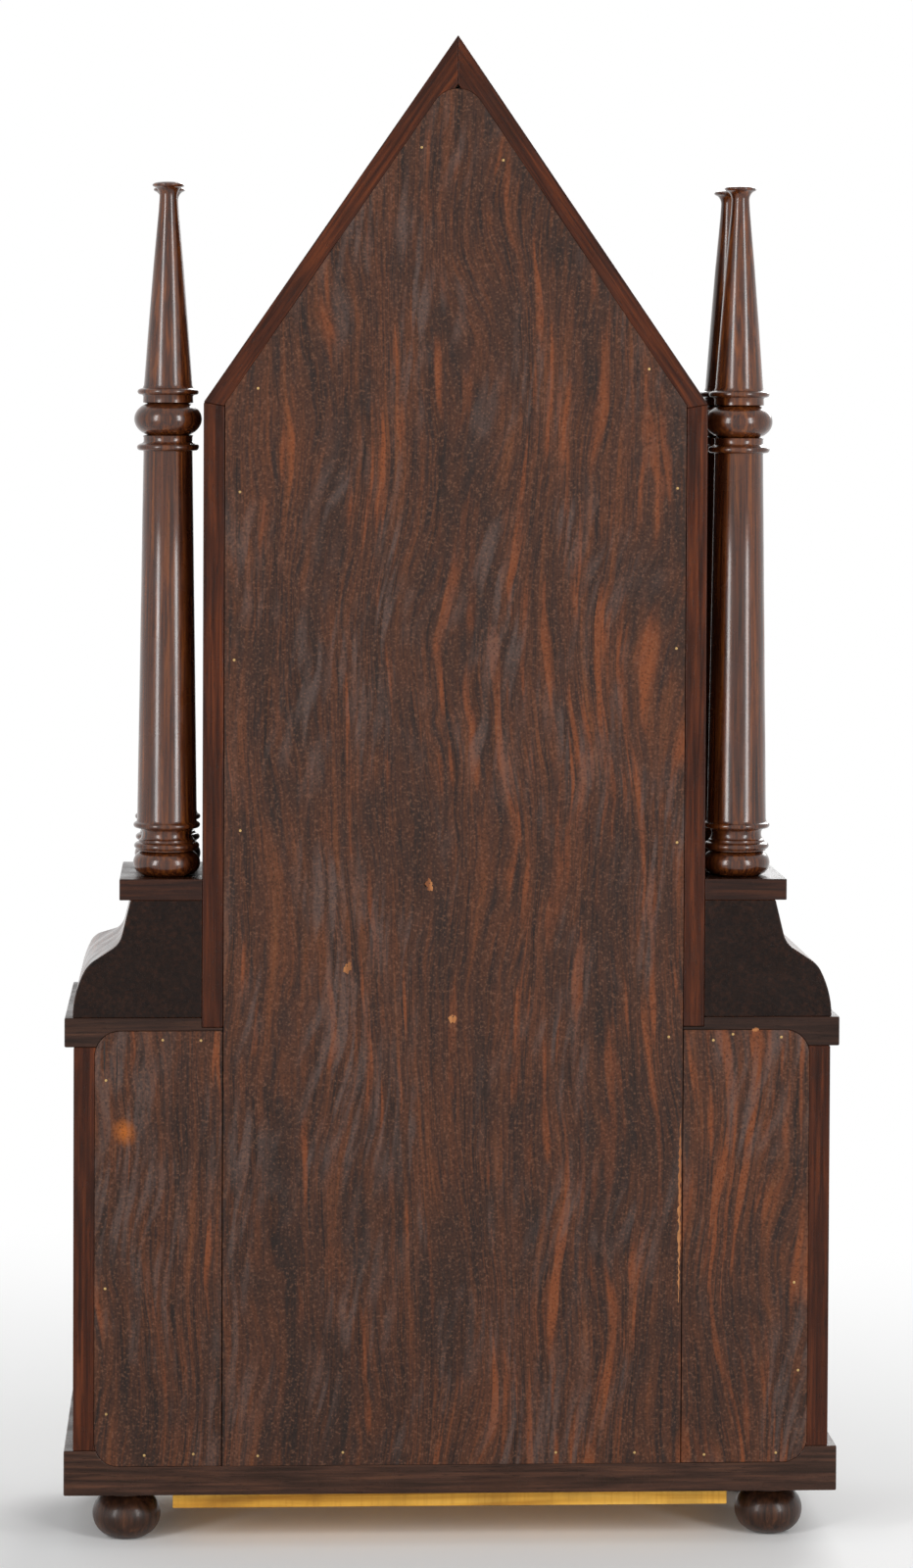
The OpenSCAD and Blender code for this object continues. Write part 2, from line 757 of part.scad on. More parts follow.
// Brass plate with pivot holes, centre hole, arbor holes and two large windows
module plate(from, holes) {
  difference() {
    slab(from, from + plate_t)
      soft_rect(-plate_w / 2, cz - plate_low, plate_w / 2, cz - plate_low + plate_h, 5);
    for (h = holes) rod(h[0], cz + h[1], from - 1, from + plate_t + 1, h[2] + 2 * run_clear);
    slab(from - 1, from + plate_t + 1) for (s = [-1, 1]) {
      soft_rect(min(s * 20, s * 35), cz - 62, max(s * 20, s * 35), cz - 44, 4);
    }
  }
}

module movement_back_plate() {
  color("#b99a4a") plate(plate_back, [for (p = pivots) [p[0], p[1], p[2]]]);
}

module movement_front_plate() {
  color("#b99a4a") {
    plate(front_plate, concat([for (p = pivots) [p[0], p[1], p[3]]]));
    rod(minute_at[0], cz + minute_at[1], front_plate + plate_t, front_plate + 8.6, stud_d);
    rod(0, cz + verge_at[1] + 9, front_plate + plate_t, pend_d + 1.5, 4);
    board([-1.2, pend_d - 0.15, cz + verge_at[1] + 0.4], [1.2, pend_d + 0.15, cz + verge_at[1] + 8]);
  }
}

module movement_pillars() {
  color("#a98a3c") for (x = [-1, 1], z = [7 - plate_low, plate_h - plate_low - 7]) {
    rod(x * (plate_w / 2 - pillar_in), cz + z, plate_back + plate_t, front_plate, pillar_d);
    rod(x * (plate_w / 2 - pillar_in), cz + z, front_plate + plate_t, front_plate + plate_t + 2.5,
        pillar_d * 0.9);
  }
}

// Centre arbor: pivot behind, long spindle in front for the hands, pinion and centre wheel
module center_arbor() {
  color("#b99a4a") {
    rod(0, cz, plate_back, plate_back + plate_t + 0.4, pivot_d);
    rod(0, cz, plate_back + plate_t + 0.4, front_plate + plate_t + 0.4, arbor_d);
    rod(0, cz, front_plate + plate_t, dial_back + 6.4, arbor_d - 0.8);
    gear([0, 0], great_leaves, great_m, great_phase + 180 + 15, time_plane - great_lap,
         time_plane + great_t + great_lap, 0.5);
    difference() {
      crossed([0, 0], center_n, center_m, -90, 37.6, 38.8, 5);
      rod(0, cz, 37, 39, arbor_d - 0.4);
    }
  }
}
great_phase = atan2(wind_down, -wind_x);

module third_wheel() {
  color("#b99a4a") {
    arbor(third_at, slim_arbor_d);
    gear(third_at, leaf_n, center_m, 90 + 180 / leaf_n, 37, 39.4, 0.45);
    crossed(third_at, third_n, third_m, -90, 24, 25.2, 4);
  }
}

// Escape wheel: raked teeth, one point each
module escape_wheel() {
  color("#b99a4a") {
    arbor(escape_at, slim_arbor_d);
    gear(escape_at, leaf_n, third_m, 90 + 180 / leaf_n, 23.4, 25.8, 0.45);
    difference() {
      translate([0, at(30), cz + escape_at[1]]) rotate([90, 0, 0]) linear_extrude(1.2)
        polygon([for (i = [0:escape_n - 1]) each [
          for (p = [[0, escape_r], [0.35, escape_r - 1.8], [0.9, escape_r - 1.8]])
            let (a = (i + p[0]) * 360 / escape_n) [p[1] * cos(a), p[1] * sin(a)]]]);
      crossings(escape_at, escape_r - 3.4, 3, 30, 31.2);
    }
  }
}

// Verge: arbor, bent pallet strip and the crutch that carries the pendulum
module verge() {
  z = cz + verge_at[1];
  reach = verge_drop - escape_r - 1.6;
  color("#8c8c90") {
    arbor(verge_at);
    rod(0, z, front_plate - 0.5, front_plate + plate_t + 1.6, pivot_d);
    slab(29.6, 31.6) polygon([[-3, z - 2.6], [3, z - 2.6], [8.2, z + reach + 2.6], [6.6, z + reach + 3],
      [5.2, z + 2], [0, z + 2.4], [-5.2, z + 2], [-6.6, z + reach + 3], [-8.2, z + reach + 2.6]]);
    rod(0, z, front_plate + plate_t + 0.6, front_plate + plate_t + 1.8, 5);
    board([-0.7, front_plate + plate_t + 0.6, z - 24], [0.7, front_plate + plate_t + 1.8, z]);
    board([-2.6, front_plate + plate_t + 0.6, z - 25.2], [2.6, front_plate + plate_t + 1.8, z - 24]);
    for (s = [-1, 1])
      board([s * 2 - 0.6, front_plate + plate_t + 0.6, z - 25.2], [s * 2 + 0.6, pend_d + 1.5, z - 24]);
  }
}

// Pendulum rod with its rating thread, and the domed bob
module pendulum_rod() {
  z = cz + verge_at[1];
  color("#8c8c90") {
    rod(0, z - 2.2, pend_d - 1, pend_d + 1, 3.6);
    translate([0, at(pend_d), z - pendulum_l + bob_d / 2]) cylinder(h = pendulum_l - bob_d / 2 - 3, d = 1.6);
  }
}

module pendulum_bob() {
  z = cz + verge_at[1] - pendulum_l;
  r = bob_d / 2;
  color("#b99a4a") {
    translate([0, at(pend_d), z]) rotate([90, 0, 0]) rotate_extrude($fn = 64) polygon(concat(
      [for (a = [0:10:90]) [r * cos(a), 1 + 3 * sin(a)]], [for (a = [90:-10:0]) [r * cos(a), -1 - 3 * sin(a)]]));
    translate([0, at(pend_d), z - r - 6]) cylinder(h = 7, d = 1.8);
    translate([0, at(pend_d), z - r - 4]) cylinder(h = 2.6, d = 6);
  }
}

// Drum on its winding arbor: barrel, two flanges, ratchet and the square for the key
module drum(c) {
  rod(c[0], cz + c[1], plate_back, plate_back + plate_t + 0.4, arbor_d);
  rod(c[0], cz + c[1], plate_back + plate_t + 0.4, 16.8, 5);
  rod(c[0], cz + c[1], 16.8, 22.4, 5);
  rod(c[0], cz + c[1], 22.4, 23.4, drum_d + 6);
  rod(c[0], cz + c[1], 23.4, 35.6, drum_d);
  rod(c[0], cz + c[1], 35.6, 36.6, drum_d + 6);
  rod(c[0], cz + c[1], 36.6, front_plate + plate_t + 2, wind_d);
  translate([c[0] - 1.9, at(dial_back + 4.5), cz + c[1] - 1.9])
    cube([3.8, dial_back + 4.5 - front_plate - plate_t - 1, 3.8]);
}

// Great wheel that turns on the winding arbor
module great(c, phase, from) {
  difference() {
    crossed(c, great_n, great_m, phase, from, from + great_t, 7);
    rod(c[0], cz + c[1], from - 1, from + great_t + 1, 5 + 2 * run_clear);
  }
}

module time_drum() { color("#b99a4a") drum(time_at); }
module strike_drum() { color("#b99a4a") drum(strike_at); }
module time_great_wheel() { color("#b99a4a") great(time_at, great_phase, time_plane); }
module strike_great_wheel() { color("#b99a4a") great(strike_at, pin_a, strike_plane); }

// Second wheel of the strike train with its lifting pins
module strike_pin_wheel() {
  color("#b99a4a") {
    arbor(pin_at);
    gear(pin_at, great_leaves, great_m, pin_a + 180 + 15, strike_plane - great_lap,
         strike_plane + great_t + great_lap, 0.5);
    crossed(pin_at, 40, 0.7, 0, 24.6, 25.8, 4);
    for (a = [0:45:315]) rod(pin_at[0] + 12 * cos(a), cz + pin_at[1] + 12 * sin(a), 25.4, 28, 1.2);
  }
}

// Minute wheel and its pinion on the stud
module minute_wheel() {
  color("#b99a4a") difference() {
    union() {
      crossed(minute_at, minute_n, cannon_m, -90 + 180 / minute_n, 43.4, 44.6, 4);
      gear(minute_at, hour_leaves, hour_m, -90, 44.5, 48.4, 0.5);
    }
    rod(minute_at[0], cz + minute_at[1], 43, 49, stud_d + 2 * run_clear);
  }
}

// Hour wheel with its pipe through the dial
module hour_wheel() {
  color("#b99a4a") difference() {
    union() {
      crossed([0, 0], hour_n, hour_m, 90 + 180 / hour_n, 46.8, 48, 5);
      rod(0, cz, 46.8, dial_back + 2.2, hour_pipe_d);
    }
    rod(0, cz, 46, dial_back + 3, cannon_d + 2 * run_clear);
  }
}

// Hand outline: slim tapered blade with a swelling and a round boss
module hand(l, boss, bore) {
  difference() {
    union() {
      circle(boss);
      polygon([[-1.4, 0], [1.4, 0], [0.7, l * 0.62], [-0.7, l * 0.62]]);
      polygon([[0, l * 0.56], [2.6, l * 0.68], [0, l], [-2.6, l * 0.68]]);
    }
    circle(bore);
  }
}

module hour_hand() {
  color("#1e2430") translate([0, at(dial_back + 2.2), cz]) rotate([90, 0, 0]) rotate([0, 0, 60])
    linear_extrude(0.7) hand(hour_l, 5, cannon_d / 2 + 0.2);
}

// Minute hand on its pipe, with the cannon pinion behind and the collet in front
module minute_hand() {
  color("#1e2430") difference() {
    union() {
      gear([0, 0], cannon_n, cannon_m, 90, cannon_plane, cannon_plane + cannon_t, 0.5);
      rod(0, cz, cannon_plane, dial_back + 5, cannon_d);
      translate([0, at(dial_back + 3.9), cz]) rotate([90, 0, 0]) rotate([0, 0, -60])
        linear_extrude(0.7) hand(minute_l, 4, 1);
      rod(0, cz, dial_back + 4.5, dial_back + 5.4, 5);
    }
    rod(0, cz, cannon_plane - 0.2, dial_back + 7, arbor_d - 0.8 + 2 * run_clear);
  }
}

// Gong stand: cast arm on two screws, with the post that holds the coil
module gong_base() {
  h = [gong_screws[0], gong_screws[1]];
  arm = norm(h[1] - h[0]);
  color("#2c2c2e") difference() {
    union() {
      slab(back_t, back_t + 5) {
        for (q = h) translate([q[0], z_ogee + q[1]]) circle(gong_pad);
        translate([h[0][0], z_ogee + h[0][1]]) rotate(atan2(h[1][1] - h[0][1], h[1][0] - h[0][0]))
          translate([0, -gong_arm / 2]) square([arm, gong_arm]);
      }
      rod(gong_x, z_ogee + gong_z, back_t + 4.9, gong_d + 4, 10);
    }
    for (q = h) rod(q[0], z_ogee + q[1], back_t - 1, back_t + 3.5, screw_d);
  }
}

// Gong wire: flat spiral from the post outward, swept as a six-sided tube
module gong_coil() {
  r0 = 5.6;
  steps = 24 * gong_turns;
  sides = 6;
  pitch = (gong_r - r0) / gong_turns;
  echo(least_gap = pitch - gong_wire);
  ring = [for (i = [0:steps]) let (a = i * 15, r = r0 + pitch * i / 24) [r * cos(a), 0, r * sin(a), a]];
  pts = [for (p = ring) for (k = [0:sides - 1]) let (b = k * 360 / sides, w = gong_wire / 2)
    [p[0] + w * cos(b) * cos(p[3]), w * sin(b), p[2] + w * cos(b) * sin(p[3])]];
  last = steps * sides;
  color("#5a5a66") translate([gong_x, at(gong_d + 1.4), z_ogee + gong_z]) polyhedron(pts, concat(
    [[for (k = [0:sides - 1]) k], [for (k = [sides - 1:-1:0]) last + k]],
    [for (i = [0:steps - 1], k = [0:sides - 1]) let (a = i * sides + k, b = i * sides + (k + 1) % sides)
      each [[a, a + sides, b], [b, a + sides, b + sides]]]));
}

module hammer() {
  x = hammer_at[0];
  z = cz + hammer_at[1];
  zh = z_ogee + gong_z;
  tip = gong_x - gong_r - gong_wire / 2 - 1.5;
  color("#8c8c90") {
    arbor(hammer_at);
    rod(x, z, gong_d, gong_d + 3, 5);
    translate([x, at(gong_d + 1.4), zh]) cylinder(h = z - zh, d = 1.8);
    translate([tip - hammer_head, at(gong_d + 1.4), zh]) rotate([0, 90, 0]) cylinder(h = hammer_head, d = hammer_face);
  }
}

// Iron work of the spring: bridge over the base frame with its clamp, and a bracket for each lever
module iron_brackets() {
  color("#2c2c2e") {
    difference() {
      union() {
        board([-16, back_t, z_lower], [16, lower_d - door_t - 2, spring_z]);
        board([-16, spring_d - leaf_w / 2 - 5, spring_z], [16, spring_d - leaf_w / 2 - 0.5, clamp_top]);
        board([-16, spring_d + leaf_w / 2 + 0.5, spring_z], [16, spring_d + leaf_w / 2 + 5, clamp_top]);
      }
      for (d = [12, lower_d - door_t - 10]) translate([0, at(d), z_lower - 1]) cylinder(h = spring_z - z_lower + 2, d = 5);
    }
    board([-16, spring_d - leaf_w / 2 - 5, clamp_top], [16, spring_d + leaf_w / 2 + 5, clamp_top + 5]);
    pair() {
      for (d = [line_d - lever_t / 2 - 4.3, line_d + lever_t / 2 + 0.3])
        board([lever_x - 7, d, z_lower + lever_z - 12], [half_l - side_t, d + 4, z_lower + lever_z + 8]);
      rod(lever_x, z_lower + lever_z, line_d - lever_t / 2 - 4, line_d + lever_t / 2 + 4, lever_pin);
    }
  }
}

// Bent leaf i, counted from the longest at the top
module spring_leaf(i) {
  half = leaf_half * (1 - i * 0.8 / leaves);
  a = asin(half / leaf_r);
  r = leaf_r + i * (leaf_t + leaf_gap);
  rotate([90, 0, 0]) rotate([0, 0, -90 - a]) rotate_extrude(angle = 2 * a, $fn = 180)
    translate([r, -leaf_w / 2]) square([leaf_t, leaf_w]);
}

module leaf_spring() {
  color("#55565a") translate([0, at(spring_d), clamp_top - fit + leaf_r - 0.2]) difference() {
    union() for (i = [0:leaves - 1]) spring_leaf(i);
    translate([0, 0, -leaf_r]) for (s = [-1, 1])
      translate([s * spring_eye, 0, -leaf_half / 2]) cylinder(h = leaf_half, d = cord_d + 1.6);
  }
}

// Forged lever: eye at its pivot, tapering bar, one hole for the spring's cord and one for the drum's
module lever() {
  z = z_lower + lever_z;
  difference() {
    slab(line_d - lever_t / 2, line_d + lever_t / 2) difference() {
      union() {
        translate([lever_x, z]) circle(6);
        polygon([[lever_x, z - 6], [lever_x, z + 6], [cord_x - 4, z + 3], [cord_x - 4, z - 3]]);
        translate([cord_x - 4, z]) circle(3);
      }
      translate([lever_x, z]) circle(lever_pin / 2 + run_clear);
    }
    for (x = [cord_x, spring_eye]) translate([x, at(line_d), z - 2 * lever_pin]) cylinder(h = 4 * lever_pin, d = cord_d + 0.6);
  }
}
module lever_right() { color("#2c2c2e") lever(); }
module lever_left() { color("#2c2c2e") mirror([1, 0, 0]) lever(); }

// Pull cords of one side: drum to lever, and lever to the end of the spring
module lines() {
  z = z_lower + lever_z;
  translate([cord_x, at(line_d), z - 5]) cylinder(h = cz - wind_down - z + 5, d = cord_d);
  translate([spring_eye, at(line_d), spring_top]) cylinder(h = z - spring_top + 6.6, d = cord_d);
}
module time_lines() { color("#c9b98e") lines(); }
module strike_lines() { color("#c9b98e") mirror([1, 0, 0]) lines(); }

base_frame();
bottom_board();
bun_feet();
lower_side_left();
lower_side_right();
mid_board();
ogee_left();
ogee_right();
ogee_front();
cap_left();
cap_right();
cap_front();
upper_side_left();
upper_side_right();
roof_left();
roof_right();
back_board_center();
back_board_left();
back_board_right();
front_candlesticks();
rear_candlesticks();
mounting_blocks();
dial();
movement_back_plate();
movement_front_plate();
movement_pillars();
gong_base();
gong_coil();
iron_brackets();
leaf_spring();
case_hinge_leaves();
upper_door_frame();
upper_door_glass();
upper_door_tablet();
upper_door_hinges();
upper_door_knob();
lower_door_frame();
lower_door_tablet();
lower_door_hinges();
lower_door_knob();
minute_hand();
hour_hand();
hour_wheel();
minute_wheel();
center_arbor();
time_drum();
time_great_wheel();
third_wheel();
escape_wheel();
verge();
pendulum_rod();
pendulum_bob();
hammer();
strike_drum();
strike_great_wheel();
strike_pin_wheel();
lever_left();
lever_right();
time_lines();
strike_lines();
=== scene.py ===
"""Shelf clock with a pointed upper case, two pairs of turned candlesticks and a wider lower case.

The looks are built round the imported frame, in metres. The front of the clock faces -Y, its back +Y.
"""

import logging
import math
from dataclasses import dataclass
from enum import Enum

import bmesh
import bpy
import numpy as np
from mathutils import Matrix, Vector


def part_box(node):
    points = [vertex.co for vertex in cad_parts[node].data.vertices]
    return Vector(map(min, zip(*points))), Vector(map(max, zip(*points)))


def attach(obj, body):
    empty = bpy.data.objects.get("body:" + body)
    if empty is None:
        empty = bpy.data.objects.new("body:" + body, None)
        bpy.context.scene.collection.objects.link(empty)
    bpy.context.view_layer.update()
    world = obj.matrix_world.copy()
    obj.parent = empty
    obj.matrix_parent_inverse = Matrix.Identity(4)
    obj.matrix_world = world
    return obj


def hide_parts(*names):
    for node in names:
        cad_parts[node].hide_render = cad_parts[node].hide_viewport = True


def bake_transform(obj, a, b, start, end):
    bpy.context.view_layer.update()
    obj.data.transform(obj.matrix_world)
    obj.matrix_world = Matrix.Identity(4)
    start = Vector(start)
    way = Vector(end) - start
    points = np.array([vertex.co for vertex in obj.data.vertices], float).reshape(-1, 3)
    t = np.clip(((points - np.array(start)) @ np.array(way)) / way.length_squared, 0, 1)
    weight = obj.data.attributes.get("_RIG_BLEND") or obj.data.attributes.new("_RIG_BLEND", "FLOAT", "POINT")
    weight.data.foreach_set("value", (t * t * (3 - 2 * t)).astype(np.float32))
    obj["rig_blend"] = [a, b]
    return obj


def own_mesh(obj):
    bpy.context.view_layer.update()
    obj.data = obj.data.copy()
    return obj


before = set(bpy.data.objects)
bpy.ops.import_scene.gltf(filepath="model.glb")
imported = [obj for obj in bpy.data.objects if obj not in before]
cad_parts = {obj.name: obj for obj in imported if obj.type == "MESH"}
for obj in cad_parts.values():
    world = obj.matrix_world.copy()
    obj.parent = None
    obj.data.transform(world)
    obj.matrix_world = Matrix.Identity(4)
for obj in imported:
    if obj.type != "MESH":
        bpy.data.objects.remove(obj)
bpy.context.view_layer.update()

log = logging.getLogger("shelf_clock")
MM = 0.001
EASED_FROM = math.radians(30.0)
WHITE = (1.0, 1.0, 1.0, 1.0)
Material = bpy.types.Material
Piece = bpy.types.Object
Profile = list[tuple[float, float]]
Triple = tuple[float, float, float]
Socket = bpy.types.NodeSocket


class Grain(Enum):
    """Direction that the wood's fibres run in, as a turn of the pattern in degrees about X, Y and Z."""

    UPRIGHT = (0.0, 0.0, 0.0)
    ACROSS = (0.0, 90.0, 0.0)
    DEPTH = (90.0, 0.0, 0.0)
    RAFTER_LEFT = (0.0, -34.5, 0.0)
    RAFTER_RIGHT = (0.0, 34.5, 0.0)


def linear(colour: str) -> tuple[float, float, float, float]:
    """Turns an sRGB hex colour into linear light.

    Each channel is divided by 12.92 where it is dark, and otherwise raised to the power 2.4.

    Args:
        colour: Six hex digits after a hash sign.

    Returns:
        Red, green, blue and an alpha of one.
    """
    channels = [int(colour[i : i + 2], 16) / 255 for i in (1, 3, 5)]
    red, green, blue = (c / 12.92 if c <= 0.04045 else ((c + 0.055) / 1.055) ** 2.4 for c in channels)
    return red, green, blue, 1.0


def per_mm(size: float) -> float:
    """Gives the pattern scale at which one cell is so many millimetres."""
    return 1.0 / (size * MM)


def add(tree: bpy.types.NodeTree, kind: str, settings: dict | None = None,
        links: dict | None = None) -> bpy.types.Node:
    """Adds a node with its settings and links.

    Args:
        tree: Node tree that takes the node.
        kind: Node type without its ShaderNode prefix.
        settings: Values by name, for a property of the node or else for one of its sockets.
        links: Output sockets by the name or number of the socket that they feed.

    Returns:
        The new node.
    """
    node = tree.nodes.new("ShaderNode" + kind)
    for name, value in (settings or {}).items():
        if isinstance(name, str) and hasattr(node, name):
            setattr(node, name, value)
        else:
            node.inputs[name].default_value = value
    for name, source in (links or {}).items():
        tree.links.new(source, node.inputs[name])
    return node


class Skin:
    """A material in the making, with the patterns that can be laid on it."""

    def __init__(self, name: str) -> None:
        """Starts the material with an empty shader and its Object coordinates.

        Args:
            name: Name of the material.
        """
        self.material = bpy.data.materials.new(name)
        self.material.use_nodes = True
        self.tree = self.material.node_tree
        self.shader = self.tree.nodes["Principled BSDF"]
        self.place = self.add("TexCoord").outputs["Object"]

    def add(self, kind: str, settings: dict | None = None, links: dict | None = None) -> bpy.types.Node:
        """Adds a node to this material, as add does to any tree."""
        return add(self.tree, kind, settings, links)

    def ramp(self, factor: Socket, stops: list[tuple[float, str]]) -> Socket:
        """Colours a pattern.

        Args:
            factor: Socket that the ramp reads.
            stops: Place from zero to one and hex colour of each stop, in order.

        Returns:
            The ramp's colour socket.
        """
        node = self.add("ValToRGB", links={"Fac": factor})
        stop = node.color_ramp.elements
        while len(stop) < len(stops):
            stop.new(1.0)
        for element, (place, colour) in zip(stop, stops):
            element.position = place
            element.color = linear(colour)
        return node.outputs["Color"]

    def mix(self, factor: Socket | float, first: Socket | str, second: Socket | str,
            blend: str = "MIX") -> Socket:
        """Mixes two colours.

        Args:
            factor: Share of the second colour, as a socket or a number.
            first: Colour under the second, as a socket or a hex colour.
            second: Colour laid over the first, as a socket or a hex colour.
            blend: Blender's name for the way of mixing.

        Returns:
            The mixed colour's socket.
        """
        node = self.add("Mix", {"data_type": "RGBA", "blend_type": blend})
        for place, value in ((0, factor), (6, first), (7, second)):
            if isinstance(value, str):
                node.inputs[place].default_value = linear(value)
            elif isinstance(value, (int, float)):
                node.inputs[place].default_value = value
            else:
                self.tree.links.new(value, node.inputs[place])
        return node.outputs[2]

    def spread(self, value: Socket, low: float, high: float, to_low: float, to_high: float) -> Socket:
        """Maps the range from low to high of a socket to that from to_low to to_high, held at its ends."""
        sizes = {"From Min": low, "From Max": high, "To Min": to_low, "To Max": to_high}
        return self.add("MapRange", sizes, {"Value": value}).outputs["Result"]

    def lay(self, under: Socket | str, over: Socket | str, pattern: Socket, low: float, high: float,
            share: float) -> Socket:
        """Lays a colour over another where a pattern is strong.

        Args:
            under: Colour that is there.
            over: Colour that is laid on.
            pattern: Socket that says where.
            low: Value of the pattern at which the colour starts to show.
            high: Value from which it covers most.
            share: How much it covers there, from zero to one.

        Returns:
            The mixed colour's socket.
        """
        return self.mix(self.spread(pattern, low, high, 0.0, share), under, over)

    def both(self, first: Socket, second: Socket) -> Socket:
        """Multiplies two patterns, so that the result is strong only where both are."""
        return self.mix(1.0, first, second, "MULTIPLY")

    def maths(self, operation: str, first: Socket, second: Socket) -> Socket:
        """Joins two values by one of Blender's named operations."""
        return self.add("Math", {"operation": operation}, {0: first, 1: second}).outputs[0]

    def turn(self, degrees: Triple, place: Socket) -> Socket:
        """Turns coordinates by angles about X, Y and Z."""
        angles = tuple(math.radians(a) for a in degrees)
        return self.add("Mapping", {"Rotation": angles}, {"Vector": place}).outputs[0]

    def along(self, grain: Grain, size: Triple, place: Socket | None = None) -> Socket:
        """Turns the coordinates to a grain direction and stretches them to a cell size.

        Args:
            grain: Direction of the fibres.
            size: Cell size in millimetres across, across and along the fibres.
            place: Coordinates to turn, or the Object coordinates where left out.

        Returns:
            Coordinates in which one cell has a length of one.
        """
        scale = tuple(per_mm(s) for s in size)
        turned_place = self.turn(grain.value, self.place if place is None else place)
        return self.add("Mapping", {"Scale": scale}, {"Vector": turned_place}).outputs[0]

    def cells(self, vector: Socket, scale: float, detail: float, distortion: float) -> Socket:
        """Adds a noise pattern to coordinates, with its scale, finer layers and warp."""
        sizes = {"Scale": scale, "Detail": detail, "Distortion": distortion}
        return self.add("TexNoise", sizes, {"Vector": vector}).outputs[0]

    def noise(self, size: float, detail: float, distortion: float = 0.0) -> Socket:
        """Adds an even noise whose cells are so many millimetres."""
        return self.cells(self.place, per_mm(size), detail, distortion)

    def grained(self, grain: Grain, size: Triple, detail: float, distortion: float = 0.0,
                place: Socket | None = None) -> Socket:
        """Adds a noise stretched along the fibres, with arguments as in along and cells."""
        return self.cells(self.along(grain, size, place), 1.0, detail, distortion)

    def dress(self, settings: dict, colour: Socket, roughness: Socket, height: Socket,
              relief: float) -> Material:
        """Links the patterns to the shader.

        Args:
            settings: Values of the shader's own sockets.
            colour: Socket of the surface colour.
            roughness: Socket of the roughness.
            height: Socket of the relief pattern.
            relief: Depth of the relief in millimetres.

        Returns:
            The finished material.
        """
        bump = self.add("Bump", {"Strength": 1.0, "Distance": relief * MM}, {"Height": height})
        for name, value in settings.items():
            self.shader.inputs[name].default_value = value
        sources = {"Base Color": colour, "Roughness": roughness, "Normal": bump.outputs["Normal"]}
        for name, source in sources.items():
            self.tree.links.new(source, self.shader.inputs[name])
        return self.material


@dataclass(frozen=True)
class PolishedWood:
    """Mahogany under old French polish: close streaks, short dark pores and a glassy film worn at places."""

    name: str
    dark: str
    middle: str
    light: str
    grain: Grain
    streak: float = 1.8
    length: float = 46.0
    rough: float = 0.26
    film: float = 0.5
    figure: float = 0.0
    grime: float = 0.35
    gloss: float = 0.5
    relief: float = 0.05

    def build(self) -> Material:
        """Builds the material.

        The streaks come from noise stretched along the fibres. The figure is a warped wave over them, and the
        pores are fine noise, cut off so that only its peaks darken and sink.

        Returns:
            The polished wood.
        """
        skin = Skin(self.name)
        streaks = skin.grained(self.grain, (self.streak, self.streak, self.length), 5.0, 0.5)
        bands = skin.grained(self.grain, (9.0, 9.0, 160.0), 3.0, 1.2)
        wood = skin.ramp(streaks, [(0.30, self.dark), (0.50, self.middle), (0.72, self.light)])
        wood = skin.lay(wood, self.dark, bands, 0.35, 0.7, 0.55)
        if self.figure:
            wave = {"Scale": 0.6, "Distortion": 11.0, "Detail": 4.0, "wave_profile": "SIN"}
            warped = skin.along(self.grain, (26.0, 26.0, 90.0))
            flame = skin.add("TexWave", wave, {"Vector": warped}).outputs["Fac"]
            wood = skin.lay(wood, self.light, flame, 0.2, 0.9, self.figure)
        wood = skin.lay(wood, "#1d120d", skin.noise(34.0, 5.0, 0.3), 0.48, 0.72, self.grime)
        pores = skin.grained(self.grain, (0.45, 0.45, 5.0), 2.0)
        wood = skin.lay(wood, "#160c08", pores, 0.58, 0.70, 0.55)
        rubbed = skin.spread(skin.noise(15.0, 6.0), 0.35, 0.75, self.rough - 0.07, self.rough + 0.16)
        pore = skin.spread(pores, 0.60, 0.70, 0.0, 1.0)
        height = skin.add("Math", {"operation": "MULTIPLY_ADD", 1: -0.6}, {0: pore, 2: streaks}).outputs[0]
        settings = {"Coat Weight": self.film, "Coat Roughness": 0.16, "Specular IOR Level": self.gloss,
                    "IOR": 1.5}
        return skin.dress(settings, wood, rubbed, height, self.relief)


